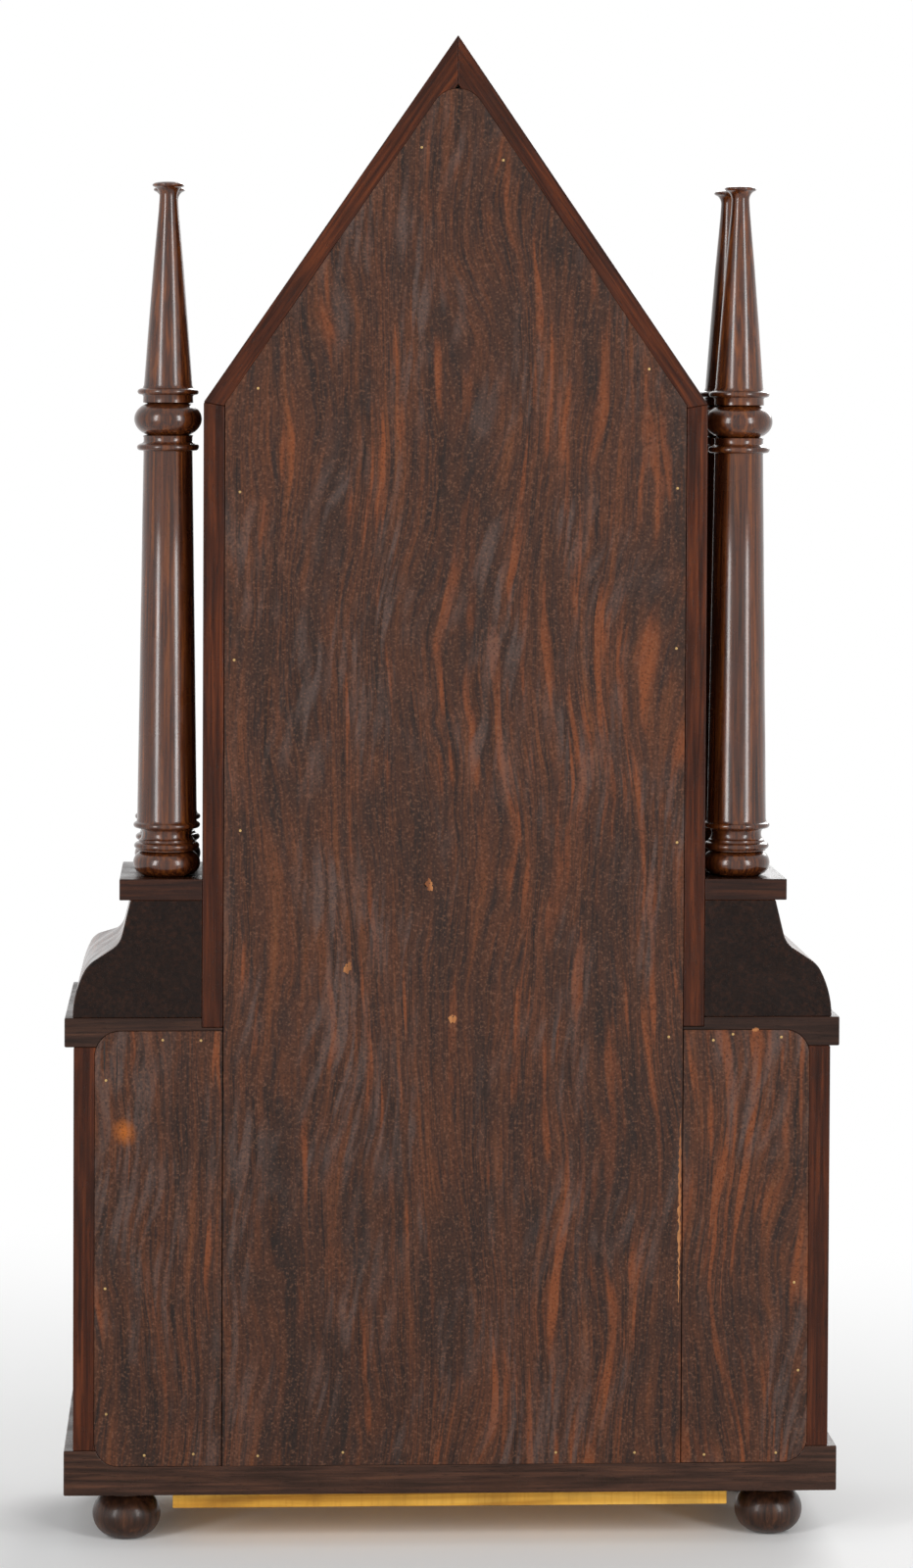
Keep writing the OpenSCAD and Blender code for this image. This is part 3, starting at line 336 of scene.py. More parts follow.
@dataclass(frozen=True)
class StainedBack:
    """Softwood back board, old dark stain: swaying bands, orange wood flames and a grey painted sheen."""

    name: str = "stained_pine_back_boards"
    rim: float = 130.0
    warm_spot: Triple = (141.0, 68.0, 183.0)

    def swayed(self, skin: Skin) -> Socket:
        """Shifts the coordinates sideways by a slow and a quicker noise, so that upright bands sway.

        Args:
            skin: The material in the making.

        Returns:
            The shifted coordinates.
        """
        shift = skin.maths("ADD", *(
            skin.spread(skin.grained(Grain.UPRIGHT, size, 1.0), 0.2, 0.8, -reach * MM, reach * MM)
            for size, reach in (((62.0, 62.0, 150.0), 13.0), ((12.0, 12.0, 34.0), 1.2))))
        offset = skin.add("CombineXYZ", links={"X": shift}).outputs[0]
        return skin.add("VectorMath", {"operation": "ADD"}, {0: skin.place, 1: offset}).outputs[0]

    def build(self) -> Material:
        """Builds the material.

        Narrow bands sway over the board. Where they peak, flames of orange wood show, more of them toward one
        side. A grey painted sheen, standing for light reflected off the ripples, lies on other peaks inside
        large patches, and a film of dirt with fine specks over all.

        Returns:
            The stained board.
        """
        skin = Skin(self.name)
        sway = self.swayed(skin)

        def upright(size: Triple, detail: float, distortion: float = 0.0, place: Socket = sway) -> Socket:
            """Adds a noise that stands upright on the swaying coordinates."""
            return skin.grained(Grain.UPRIGHT, size, detail, distortion, place)

        bands = upright((3.6, 3.6, 110.0), 2.0)
        flames = upright((4.8, 4.8, 64.0), 2.0)
        fine = upright((0.9, 0.9, 22.0), 4.0, 0.2)
        patches = upright((22.0, 22.0, 75.0), 3.0, 0.8, skin.place)
        cloud = upright((26.0, 26.0, 60.0), 4.0, 0.4)
        base = skin.ramp(bands, [(0.30, "#1e1613"), (0.46, "#2e201b"), (0.60, "#44291d"), (0.74, "#5a3520")])
        base = skin.lay(base, "#6e3d20", fine, 0.40, 0.70, 0.4)
        base = skin.lay(base, "#261c18", patches, 0.46, 0.66, 0.7)
        across = skin.add("SeparateXYZ", links={"Vector": skin.place}).outputs["X"]
        level = skin.maths("SUBTRACT", flames, skin.spread(across, 0.06, -self.rim * MM, 0.12, 0.0))
        show = skin.both(skin.spread(level, 0.52, 0.61, 0.0, 0.7), skin.spread(patches, 0.62, 0.44, 0.3, 1.0))
        base = skin.mix(show, base, "#784022")
        ripple = upright((3.4, 3.4, 34.0), 1.0, 0.0, skin.turn((0.0, 9.0, 0.0), sway))
        # Painted reflection: grey on the ripple peaks inside cloudy patches stands for sheen on the board.
        bloom = skin.both(skin.spread(ripple, 0.44, 0.62, 0.0, 1.0), skin.spread(cloud, 0.47, 0.64, 0.0, 0.55))
        base = skin.mix(bloom, base, "#574843")
        spot = {axis: size * MM for axis, size in zip("XYZ", self.warm_spot)}
        ends = {0: sway, 1: skin.add("CombineXYZ", spot).outputs[0]}
        gap = skin.add("VectorMath", {"operation": "DISTANCE"}, ends).outputs["Value"]
        base = skin.lay(base, "#a85c1e", gap, 0.007, 0.001, 0.75)
        specks = skin.noise(1.0, 2.0)
        base = skin.lay(base, "#17100c", specks, 0.54, 0.70, 0.55)
        base = skin.lay(base, "#7a5540", specks, 0.44, 0.30, 0.35)
        rough = skin.spread(cloud, 0.3, 0.7, 0.62, 0.44)
        return skin.dress({"Specular IOR Level": 0.16}, base, rough, skin.maths("ADD", fine, ripple), 0.10)


@dataclass(frozen=True)
class RawPine:
    """Sawn pine without any finish: golden yellow, with ochre winter grain and the ripples of the saw."""

    name: str
    grain: Grain
    pale: str
    deep: str
    lit: str = "#d0a75c"

    def build(self) -> Material:
        """Builds the material: stretched noise as grain, a fine wave across it as saw marks, and grey dirt.

        Returns:
            The raw pine.
        """
        skin = Skin(self.name)
        growth = skin.grained(self.grain, (4.5, 4.5, 120.0), 4.0, 0.6)
        colour = skin.ramp(growth, [(0.32, self.deep), (0.52, self.pale), (0.75, self.lit)])
        saw = skin.grained(self.grain, (60.0, 60.0, 1.6), 1.0)
        colour = skin.lay(colour, self.deep, saw, 0.5, 0.7, 0.3)
        dirt = skin.noise(26.0, 5.0)
        colour = skin.lay(colour, "#4d3520", dirt, 0.5, 0.75, 0.55)
        rough = skin.spread(dirt, 0.2, 0.8, 0.62, 0.85)
        return skin.dress({"Specular IOR Level": 0.3}, colour, rough, saw, 0.15)


@dataclass(frozen=True)
class Metal:
    """Bare or coated metal: its own colour, fine marks of the tool and a skin of tarnish or dirt."""

    name: str
    clean: str
    tarnish: str
    shine: float
    marks: Triple = (0.25, 0.25, 12.0)
    metallic: float = 1.0
    cover: float = 0.6
    relief: float = 0.02
    grain: Grain = Grain.UPRIGHT

    def build(self) -> Material:
        """Builds the material: tarnish in soft patches, and stretched noise as tool marks.

        Returns:
            The metal.
        """
        skin = Skin(self.name)
        patches = skin.noise(9.0, 6.0, 0.4)
        lines = skin.grained(self.grain, self.marks, 3.0)
        colour = skin.lay(self.clean, self.tarnish, patches, 0.40, 0.72, self.cover)
        colour = skin.lay(colour, self.tarnish, lines, 0.5, 0.75, 0.3)
        rough = skin.spread(patches, 0.3, 0.75, self.shine, self.shine + 0.24)
        return skin.dress({"Metallic": self.metallic}, colour, rough, lines, self.relief)


@dataclass(frozen=True)
class DialPaint:
    """Zinc plate under old cream paint: ivory, browner in patches, with hair cracks in the film."""

    name: str = "painted_zinc_dial"
    cream: str = "#e4d9bb"
    aged: str = "#c3ab7c"

    def build(self) -> Material:
        """Builds the material: soft brown patches, and the thin edges between cells as hair cracks.

        Returns:
            The dial paint.
        """
        skin = Skin(self.name)
        patches = skin.noise(30.0, 6.0, 0.5)
        colour = skin.lay(self.cream, self.aged, patches, 0.45, 0.75, 0.7)
        edges = {"feature": "DISTANCE_TO_EDGE", "Scale": per_mm(7.0)}
        cells = skin.add("TexVoronoi", edges, {"Vector": skin.place})
        crack = skin.spread(cells.outputs["Distance"], 0.0, 0.02, 1.0, 0.0)
        colour = skin.mix(skin.both(crack, skin.spread(patches, 0.4, 0.6, 0.0, 0.5)), colour, "#6b5433")
        rough = skin.spread(patches, 0.3, 0.7, 0.35, 0.5)
        return skin.dress({"Specular IOR Level": 0.5}, colour, rough, patches, 0.04)


@dataclass(frozen=True)
class OldGlass:
    """Cylinder-blown window glass: nearly clear with a faint green cast and slow waves in its faces."""

    name: str = "blown_window_glass"

    def build(self) -> Material:
        """Builds the material: full transmission, with a slow swell in the relief.

        Returns:
            The glass.
        """
        skin = Skin(self.name)
        swell = skin.grained(Grain.UPRIGHT, (18.0, 18.0, 55.0), 1.0)
        colour = skin.lay("#fdfefd", "#f8fbf8", swell, 0.3, 0.7, 1.0)
        rough = skin.spread(skin.noise(12.0, 5.0), 0.5, 0.8, 0.01, 0.06)
        return skin.dress({"Transmission Weight": 1.0, "IOR": 1.5}, colour, rough, swell, 0.03)


@dataclass(frozen=True)
class Cord:
    """Laid linen line: pale flax colour, with the slanting grooves of its strands."""

    name: str = "laid_linen_line"
    strands: float = 97.65625

    def build(self) -> Material:
        """Builds the material: bands that slope along the cord stand for its strands, and their grooves are
        painted darker as shade.

        Returns:
            The linen.
        """
        skin = Skin(self.name)
        sloped = skin.turn((0.0, 35.0, 0.0), skin.place)
        wave = {"Scale": self.strands, "Distortion": 0.4, "bands_direction": "Z"}
        grooves = skin.add("TexWave", wave, {"Vector": sloped}).outputs["Fac"]
        soil = skin.noise(8.0, 4.0)
        # Painted shade: the grooves between the strands are coloured darker.
        colour = skin.mix(skin.spread(grooves, 0.0, 0.6, 0.75, 0.0), "#cdbb90", "#7b6640")
        colour = skin.lay(colour, "#8b744b", soil, 0.45, 0.75, 0.5)
        rough = skin.spread(soil, 0.0, 1.0, 0.8, 0.95)
        return skin.dress({"Sheen Weight": 0.15, "Specular IOR Level": 0.2}, colour, rough, grooves, 0.2)


@dataclass(frozen=True)
class PaintLayer:
    """Oil colour behind glass, read from the piece's own colour attribute, a little dry and uneven."""

    name: str
    attribute: str = "paint"
    rough: float = 0.4

    def build(self) -> Material:
        """Builds the material: the painted colours, worn by small dark flakes.

        Returns:
            The paint.
        """
        skin = Skin(self.name)
        painted = skin.add("Attribute", {"attribute_name": self.attribute}).outputs["Color"]
        patches = skin.noise(16.0, 6.0)
        colour = skin.lay(painted, "#5b4a33", patches, 0.5, 0.8, 0.45)
        flakes = skin.noise(2.4, 4.0)
        colour = skin.lay(colour, "#1c1612", flakes, 0.66, 0.70, 0.6)
        rough = skin.spread(patches, 0.0, 1.0, self.rough, self.rough + 0.2)
        return skin.dress({"Specular IOR Level": 0.4}, colour, rough, flakes, 0.03)


def linked(name: str, data: bpy.types.ID) -> Piece:
    """Makes an object of a mesh, a camera or a lamp, and links it into the scene."""
    piece = bpy.data.objects.new(name, data)
    bpy.context.scene.collection.objects.link(piece)
    return piece


def box_mm(node: str) -> tuple[np.ndarray, np.ndarray, np.ndarray]:
    """Gives the low corner, the middle and the high corner of a CAD node's box in millimetres."""
    low, high = (np.array(corner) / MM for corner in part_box(node))
    return low, (low + high) / 2, high


def circle(count: int) -> np.ndarray:
    """Gives so many even angles round a circle, from zero."""
    return np.linspace(0.0, 2 * np.pi, count, endpoint=False)


def upright_line(x: float, depth: float, heights: np.ndarray) -> np.ndarray:
    """Gives points in millimetres that stand over each other at the given heights."""
    return np.stack([np.full(len(heights), x), np.full(len(heights), depth), heights], -1)


def put(name: str, points: np.ndarray, faces: list, smooth: bool = True) -> Piece:
    """Puts a surface into the scene, with its faces turned outward.

    Args:
        name: Name of the piece.
        points: Its points in millimetres, one row each.
        faces: Point numbers of each face.
        smooth: True where the faces are shaded as one curved surface.

    Returns:
        The new object, at the origin, with its place in its mesh.
    """
    mesh = bpy.data.meshes.new(name)
    mesh.from_pydata((points.reshape(-1, 3) * MM).tolist(), [], faces)
    mesh.validate()
    outward(mesh)
    mesh.polygons.foreach_set("use_smooth", np.full(len(mesh.polygons), smooth))
    return linked(name, mesh)


def outward(mesh: bpy.types.Mesh, weld: float = 0.002, crisp: float = 38.0) -> None:
    """Merges the points of a mesh that lie together, turns its faces outward and keeps its arrises crisp.

    Args:
        mesh: Mesh to mend.
        weld: Distance in millimetres within which points become one.
        crisp: Angle in degrees from which an edge between two faces stays sharp.
    """
    shell = bmesh.new()
    shell.from_mesh(mesh)
    bmesh.ops.remove_doubles(shell, verts=shell.verts, dist=weld * MM)
    bmesh.ops.recalc_face_normals(shell, faces=shell.faces)
    for edge in shell.edges:
        edge.smooth = edge.calc_face_angle(0.0) < math.radians(crisp)
    shell.to_mesh(mesh)
    shell.free()


def quads(rows: int, columns: int, round_rows: bool, round_columns: bool) -> np.ndarray:
    """Numbers the four corners of each cell of a grid of points.

    Cell (i, j) joins points (i, j), (i, j+1), (i+1, j+1) and (i+1, j), where the last row or column may meet
    the first again.

    Args:
        rows: Number of rows of points.
        columns: Number of columns of points.
        round_rows: True where the last row joins the first.
        round_columns: True where the last column joins the first.

    Returns:
        One row of four point numbers for each cell.
    """
    i = np.arange(rows if round_rows else rows - 1)
    j = np.arange(columns if round_columns else columns - 1)
    low, side = np.meshgrid(i, j, indexing="ij")
    high, next_side = (low + 1) % rows, (side + 1) % columns
    corners = (low * columns + side, low * columns + next_side,
               high * columns + next_side, high * columns + side)
    return np.stack(corners, -1).reshape(-1, 4)


def turned(name: str, profile: Profile, centre: Triple, axis: str = "Z", around: int = 72) -> Piece:
    """Turns a profile round an axis, as on a lathe.

    The point at angle a and profile step i lies at the centre, plus the radius of step i times the cosine and
    sine of a in the plane across the axis, plus the height of step i along the axis.

    Args:
        name: Name of the piece.
        profile: Radius and height in millimetres, from one closed end to the other.
        centre: Place of the profile's height zero, in millimetres.
        axis: Z for upward, or F for forward, toward the clock's front.
        around: Number of points round the axis.

    Returns:
        The turned piece.
    """
    radius, height = np.array(profile).T
    angle = circle(around)
    across = radius[:, None] * np.cos(angle)
    over = radius[:, None] * np.sin(angle)
    along_axis = np.broadcast_to(height[:, None], across.shape)
    stack = (across, over, along_axis) if axis == "Z" else (across, -along_axis, over)
    points = np.stack(stack, -1) + np.array(centre)
    return put(name, points, quads(len(radius), around, False, True).tolist())


def swept(name: str, path: np.ndarray, radius: float | np.ndarray, around: int = 14) -> Piece:
    """Carries a circle along a path that lies in a plane of constant depth.

    The circle at each point stands square to the path: one of its axes is the path's normal in the plane, the
    other is the depth. Both ends are closed by a fan.

    Args:
        name: Name of the piece.
        path: Points of the path in millimetres, one row each.
        radius: Radius of the circle in millimetres, one for all or one for each point of the path.
        around: Number of points round the circle.

    Returns:
        The swept piece.
    """
    ahead = np.gradient(path, axis=0)
    ahead /= np.linalg.norm(ahead, axis=1, keepdims=True)
    normal = np.stack([-ahead[:, 2], np.zeros(len(path)), ahead[:, 0]], -1)
    angle = circle(around)[None, :, None]
    depth = np.array([0.0, 1.0, 0.0])
    wide = np.broadcast_to(radius, len(path))[:, None, None]
    ring = path[:, None] + wide * (np.cos(angle) * normal[:, None] + np.sin(angle) * depth)
    points = np.concatenate([ring.reshape(-1, 3), path[:1], path[-1:]])
    faces = quads(len(path), around, False, True).tolist()
    side = np.arange(around)
    for first, tip in ((0, len(points) - 2), ((len(path) - 1) * around, len(points) - 1)):
        faces += np.stack([first + side, first + (side + 1) % around, np.full(around, tip)], -1).tolist()
    return put(name, points, faces)


def prisms(name: str, shapes: np.ndarray, face: float, proud: float) -> Piece:
    """Raises flat four-sided shapes from an upright plane, such as strokes of paint on a dial.

    Args:
        name: Name of the piece.
        shapes: Corners as X and Z in millimetres, an array of shapes by four by two.
        face: Y of the plane in millimetres.
        proud: Height of the shapes toward the front in millimetres.

    Returns:
        The raised shapes as one piece.
    """
    back = np.stack([shapes[..., 0], np.full(shapes.shape[:2], face), shapes[..., 1]], -1)
    front = back - np.array([0.0, proud, 0.0])
    points = np.concatenate([back, front], 1).reshape(-1, 3)
    block = np.array([[0, 1, 2, 3], [7, 6, 5, 4], [0, 4, 5, 1], [1, 5, 6, 2], [2, 6, 7, 3], [3, 7, 4, 0]])
    faces = (np.arange(len(shapes))[:, None, None] * 8 + block).reshape(-1, 4)
    return put(name, points, faces.tolist(), smooth=False)


def arc(centre_r: float, centre_z: float, radius: float, height: float, start: float, end: float,
        steps: int = 14) -> Profile:
    """Gives points on part of an ellipse for a lathe profile.

    The point at angle a lies at the centre plus the radius times its cosine outward and the height times its
    sine upward.

    Args:
        centre_r: Distance of the ellipse's centre from the lathe axis.
        centre_z: Height of the ellipse's centre.
        radius: Half width of the ellipse; a negative one gives a hollow.
        height: Half height of the ellipse.
        start: First angle in degrees.
        end: Last angle in degrees.
        steps: Number of points.

    Returns:
        Radius and height of each point.
    """
    angle = np.radians(np.linspace(start, end, steps))
    return list(zip((centre_r + radius * np.cos(angle)).tolist(), (centre_z + height * np.sin(angle)).tolist()))


def eased_copy(node: str, name: str, width: float = 0.5, flat_angle: float = 1.0,
               kinks: float = 0.0) -> Piece:
    """Copies a CAD node and eases its edges, as sandpaper and handling do.

    The copy's doubles are merged and its flat faces joined. A live bevel rounds every edge over 30 degrees.

    Args:
        node: Name of the CAD node.
        name: Name of the new piece.
        width: Width of the eased edge in millimetres.
        flat_angle: Angle in degrees below which faces count as one flat face.
        kinks: Width in millimetres over which blunt corners of 18 to 30 degrees are rounded into a curve.

    Returns:
        The eased copy, which stands for the node.
    """
    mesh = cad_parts[node].data.copy()
    mesh.name = name
    mesh.materials.clear()
    shell = bmesh.new()
    shell.from_mesh(mesh)
    bmesh.ops.remove_doubles(shell, verts=shell.verts, dist=0.005 * MM)
    bmesh.ops.dissolve_limit(shell, angle_limit=math.radians(flat_angle), verts=shell.verts, edges=shell.edges)
    if kinks:
        blunt = [edge for edge in shell.edges if 18.0 < math.degrees(edge.calc_face_angle(0.0)) < 30.0]
        bmesh.ops.bevel(shell, geom=blunt, offset=kinks * MM, segments=5, profile=0.5, affect="EDGES",
                        clamp_overlap=True)
    bmesh.ops.recalc_face_normals(shell, faces=shell.faces)
    for edge in shell.edges:
        edge.smooth = edge.calc_face_angle(0.0) < EASED_FROM
    for face in shell.faces:
        face.smooth = True
    shell.to_mesh(mesh)
    shell.free()
    piece = linked(name, mesh)
    bevel = piece.modifiers.new("eased_edges", "BEVEL")
    bevel.width = width * MM
    bevel.segments = 2
    bevel.limit_method = "ANGLE"
    bevel.angle_limit = EASED_FROM
    bevel.harden_normals = True
    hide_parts(node)
    return piece


def settle(piece: Piece, body: str, finish: Material) -> Piece:
    """Gives a new piece its finish, its body and its slot, and reports it.

    Args:
        piece: The new piece.
        body: CAD body that it rides on.
        finish: Its material.

    Returns:
        The same piece.
    """
    piece.data.materials.clear()
    piece.data.materials.append(finish)
    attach(piece, body)
    log.info("%s: %d points on %s", piece.name, len(piece.data.vertices), body)
    return piece


def refinish(node: str, finish: Material) -> None:
    """Gives a CAD node that stays in view its finish.

    Args:
        node: Name of the CAD node.
        finish: Its material.
    """
    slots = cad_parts[node].material_slots
    for slot in slots:
        slot.material = finish
    log.info("%s: refinished, %d slots", node, len(slots))


@dataclass(frozen=True)
class Finishes:
    """The clock's finishes, each built once."""

    sides: Material
    rails: Material
    base_rail: Material
    rafter_left: Material
    rafter_right: Material
    shoulders: Material
    shoulder_front: Material
    shoulder_side: Material
    caps: Material
    columns: Material
    feet: Material
    veneer: Material
    back: Material
    pine: Material
    blocks: Material
    torn: Material
    nail: Material
    dark_hole: Material
    plates: Material
    wheels: Material
    hinge_brass: Material
    steel: Material
    spring: Material
    blued: Material
    iron: Material
    dial: Material
    numeral: Material
    glass: Material
    tablet: Material
    cord: Material
    knob: Material

    @classmethod
    def mixed(cls) -> "Finishes":
        """Builds every finish of the clock.

        Returns:
            The finishes.
        """
        edge = {"dark": "#26110a", "middle": "#432012", "light": "#633119", "film": 0.0, "gloss": 0.14}
        curve = {"dark": "#241007", "middle": "#45200e", "light": "#693616", "film": 0.25, "gloss": 0.22,
                 "figure": 0.2}
        rail = {"grain": Grain.ACROSS, "film": 0.0, "gloss": 0.16}
        # Darker copy of the mahogany for the shoulders' rear faces: painted shade.
        shade = {"dark": "#120b09", "middle": "#1f130e", "light": "#2f1b13", "film": 0.0, "gloss": 0.12}
        return cls(
            sides=PolishedWood("polished_mahogany_sides", grain=Grain.UPRIGHT, **edge).build(),
            rails=PolishedWood("polished_mahogany_rails", "#1d120d", "#33211a", "#4a3023", **rail).build(),
            base_rail=PolishedWood("worn_mahogany_base_rail", "#261912", "#412b22", "#5d3d2d", **rail).build(),
            rafter_left=PolishedWood("polished_mahogany_left_rafter", grain=Grain.RAFTER_LEFT,
                                     **edge).build(),
            rafter_right=PolishedWood("polished_mahogany_right_rafter", grain=Grain.RAFTER_RIGHT,
                                      **edge).build(),
            shoulders=PolishedWood("mahogany_shoulder_rears_painted_shade", grain=Grain.DEPTH, **shade).build(),
            shoulder_front=PolishedWood("veneered_front_shoulder", grain=Grain.ACROSS, **curve).build(),
            shoulder_side=PolishedWood("veneered_side_shoulder", grain=Grain.DEPTH, **curve).build(),
            caps=PolishedWood("polished_mahogany_caps", "#1b0d08", "#301910", "#4a2817", Grain.ACROSS,
                              film=0.1, gloss=0.14).build(),
            columns=PolishedWood("turned_mahogany_candlesticks", "#260f06", "#512710", "#7a4218", Grain.UPRIGHT,
                                 streak=1.4, length=60.0, film=0.6, grime=0.3, gloss=0.25,
                                 relief=0.008).build(),
            feet=PolishedWood("turned_stained_birch_feet", "#20120b", "#3a2216", "#553420", Grain.UPRIGHT,
                              rough=0.34, film=0.15, gloss=0.25).build(),
            veneer=PolishedWood("crotch_mahogany_veneer", "#2a1208", "#57290f", "#824718", Grain.UPRIGHT,
                                2.2, 38.0, film=0.35, figure=0.35, gloss=0.25, relief=0.02).build(),
            back=StainedBack().build(),
            pine=RawPine("raw_pine_bottom_board", Grain.ACROSS, "#d29c3a", "#a8721e", "#e0b254").build(),
            blocks=RawPine("raw_pine_blocks", Grain.ACROSS, "#a98148", "#7c5528").build(),
            torn=RawPine("torn_raw_wood", Grain.UPRIGHT, "#9c6438", "#6e3f20", "#c08a58").build(),
            nail=Metal("worn_brass_nails", "#b3935c", "#6e5433", 0.4, cover=0.5, metallic=0.5).build(),
            dark_hole=Metal("rusted_iron_and_painted_crack_shade", "#1b1412", "#0d0908", 0.6, metallic=0.2).build(),
            plates=Metal("rolled_brass_plates", "#c39a4a", "#84632c", 0.26, (0.5, 0.5, 26.0)).build(),
            wheels=Metal("cut_brass_wheels", "#cda552", "#8c6c33", 0.22, (0.4, 0.4, 6.0)).build(),
            hinge_brass=Metal("pressed_brass_hinges", "#9a7c44", "#57431f", 0.36, cover=0.85).build(),
            steel=Metal("polished_steel_arbors", "#b9babd", "#77706a", 0.24, (0.3, 0.3, 9.0)).build(),
            spring=Metal("hardened_spring_steel", "#6f7075", "#3e332b", 0.38, (0.4, 0.4, 22.0), relief=0.03,
                         grain=Grain.ACROSS).build(),
            blued=Metal("blued_steel", "#1d2540", "#14131a", 0.24, cover=0.7).build(),
            iron=Metal("japanned_cast_iron", "#1d1c1e", "#3a2b22", 0.42, (0.9, 0.9, 0.9), metallic=0.35,
                       cover=0.5, relief=0.08).build(),
            dial=DialPaint().build(),
            numeral=Metal("black_numeral_paint", "#17161a", "#3a322a", 0.4, metallic=0.0, cover=0.4).build(),
            glass=OldGlass().build(),
            tablet=PaintLayer("reverse_painted_tablet").build(),
            cord=Cord().build(),
            knob=PolishedWood("ebonised_knob_wood", "#120c0a", "#1f1511", "#33231a", Grain.DEPTH, 1.0, 12.0,
                              rough=0.24, film=0.6).build(),
        )


@dataclass
class Case:
    """Carcase: side boards, rafters, shoulders, caps, mid board, base, feet and bottom board."""

    finish: Finishes
    eased: float = 0.6
    foot_height: float = 23.5
    foot_radius: float = 15.0

    def boards(self) -> None:
        """Dresses each board with its own finish and eased edges."""
        finish = self.finish
        plan = [
            ("upper_side_left", finish.sides), ("upper_side_right", finish.sides),
            ("lower_side_left", finish.sides), ("lower_side_right", finish.sides),
            ("roof_left", finish.rafter_left), ("roof_right", finish.rafter_right),
            ("ogee_left", finish.shoulder_side), ("ogee_right", finish.shoulder_side),
            ("ogee_front", finish.shoulder_front), ("cap_left", finish.caps), ("cap_right", finish.caps),
            ("cap_front", finish.caps), ("mid_board", finish.rails), ("base_frame", finish.base_rail),
        ]
        for node, material in plan:
            flat, kinks = (0.2, 3.0) if node.startswith("ogee") else (1.0, 0.0)
            board = eased_copy(node, node + "_board", self.eased, flat, kinks)
            settle(board, "case", material)
            # Painted shade: the side shoulders' rear faces, turned toward +Y, take a much darker copy of the
            # mahogany.
            if node in ("ogee_left", "ogee_right"):
                board.data.materials.append(finish.shoulders)
                normals = np.empty(len(board.data.polygons) * 3)
                board.data.polygons.foreach_get("normal", normals)
                board.data.polygons.foreach_set("material_index", (normals[1::3] > 0.95).astype(np.int32))
        settle(eased_copy("bottom_board", "sawn_bottom_board", 0.4), "case", finish.pine)
        settle(eased_copy("mounting_blocks", "inner_blocks", 0.5), "case", finish.blocks)

    def foot_profile(self) -> Profile:
        """Gives the bun foot's outline: flat sole, round belly, a quirk and a short neck."""
        belly = self.foot_height * 0.44
        round_part = arc(self.foot_radius - belly, belly, belly, belly, -90.0, 62.0, 26)
        neck = self.foot_radius * 0.8
        top = self.foot_height
        return [(0.0, 0.0), *round_part, (neck, round_part[-1][1] + 0.8), (neck, top - 1.2), (neck - 0.8, top),
                (0.0, top)]

    def feet(self) -> None:
        """Turns the four bun feet."""
        low, _, high = box_mm("bun_feet")
        low, high = low + self.foot_radius, high - self.foot_radius
        first = None
        for side, x in (("left", low[0]), ("right", high[0])):
            for end, y in (("front", low[1]), ("rear", high[1])):
                foot = turned(f"bun_foot_{side}_{end}", self.foot_profile(), (x, y, 0.0), around=96)
                settle(foot, "case", self.finish.feet)
                first = first or foot
        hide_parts("bun_feet")


@dataclass
class Candlesticks:
    """Two pairs of turned candlesticks: torus foot, tapering shaft, ringed ball and slender taper."""

    finish: Finishes
    height: float = 303.6
    ball: float = 14.7

    def profile(self) -> Profile:
        """Gives the outline from the tenon to the domed tip, as radius and height over the cap."""
        ball = self.ball
        tip = self.height
        return [
            (0.0, -6.7), (4.4, -6.7), (4.4, -0.1), (9.6, 0.0),
            *arc(9.2, 5.7, 5.5, 5.5, -78.0, 78.0, 22), (12.9, 11.2),
            *arc(11.6, 13.2, 2.7, 1.8, -60.0, 70.0, 10), (12.3, 15.3), (12.2, 15.7),
            *arc(12.4, 18.4, -1.5, 2.5, -80.0, 80.0, 12), *arc(13.0, 22.3, 1.6, 1.35, -84.0, 70.0, 12),
            (13.2, 23.9), (12.95, 25.2), (12.2, 78.0), (11.45, 130.0), (10.65, 185.6),
            (10.9, 186.0), *arc(12.1, 187.6, 1.4, 1.4, -80.0, 84.0, 12), (11.1, 189.5), (10.6, 190.2),
            (10.6, 191.8), (10.9, 192.6), *arc(6.4, 199.9, ball - 6.4, 7.2, -72.0, 72.0, 30), (10.9, 207.2),
            (10.8, 209.9), (11.2, 210.5), *arc(12.0, 211.9, 1.3, 1.25, -84.0, 80.0, 12), (11.0, 213.5),
            (10.5, 214.8), (8.6, 240.0), (6.4, 268.0), (4.3, 291.0), (3.95, 296.2),
            *arc(7.0, 297.3, -3.1, 4.0, -6.0, 76.0, 12), (6.8, 301.5), (7.05, 301.9), (6.95, 302.35),
            *arc(0.0, tip - 1.2, 6.75, 1.2, 6.0, 84.0, 8), (0.0, tip),
        ]

    def build(self) -> None:
        """Turns both pairs on the places of their CAD solids."""
        base = box_mm("cap_left")[2][2]
        for pair in ("front", "rear"):
            low, middle, high = box_mm(f"{pair}_candlesticks")
            for side, x in (("left", low[0] + self.ball), ("right", high[0] - self.ball)):
                stick = turned(f"candlestick_{pair}_{side}", self.profile(), (x, middle[1], base), around=120)
                settle(stick, "case", self.finish.columns)
                if side == "left":
                    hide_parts(f"{pair}_candlesticks")


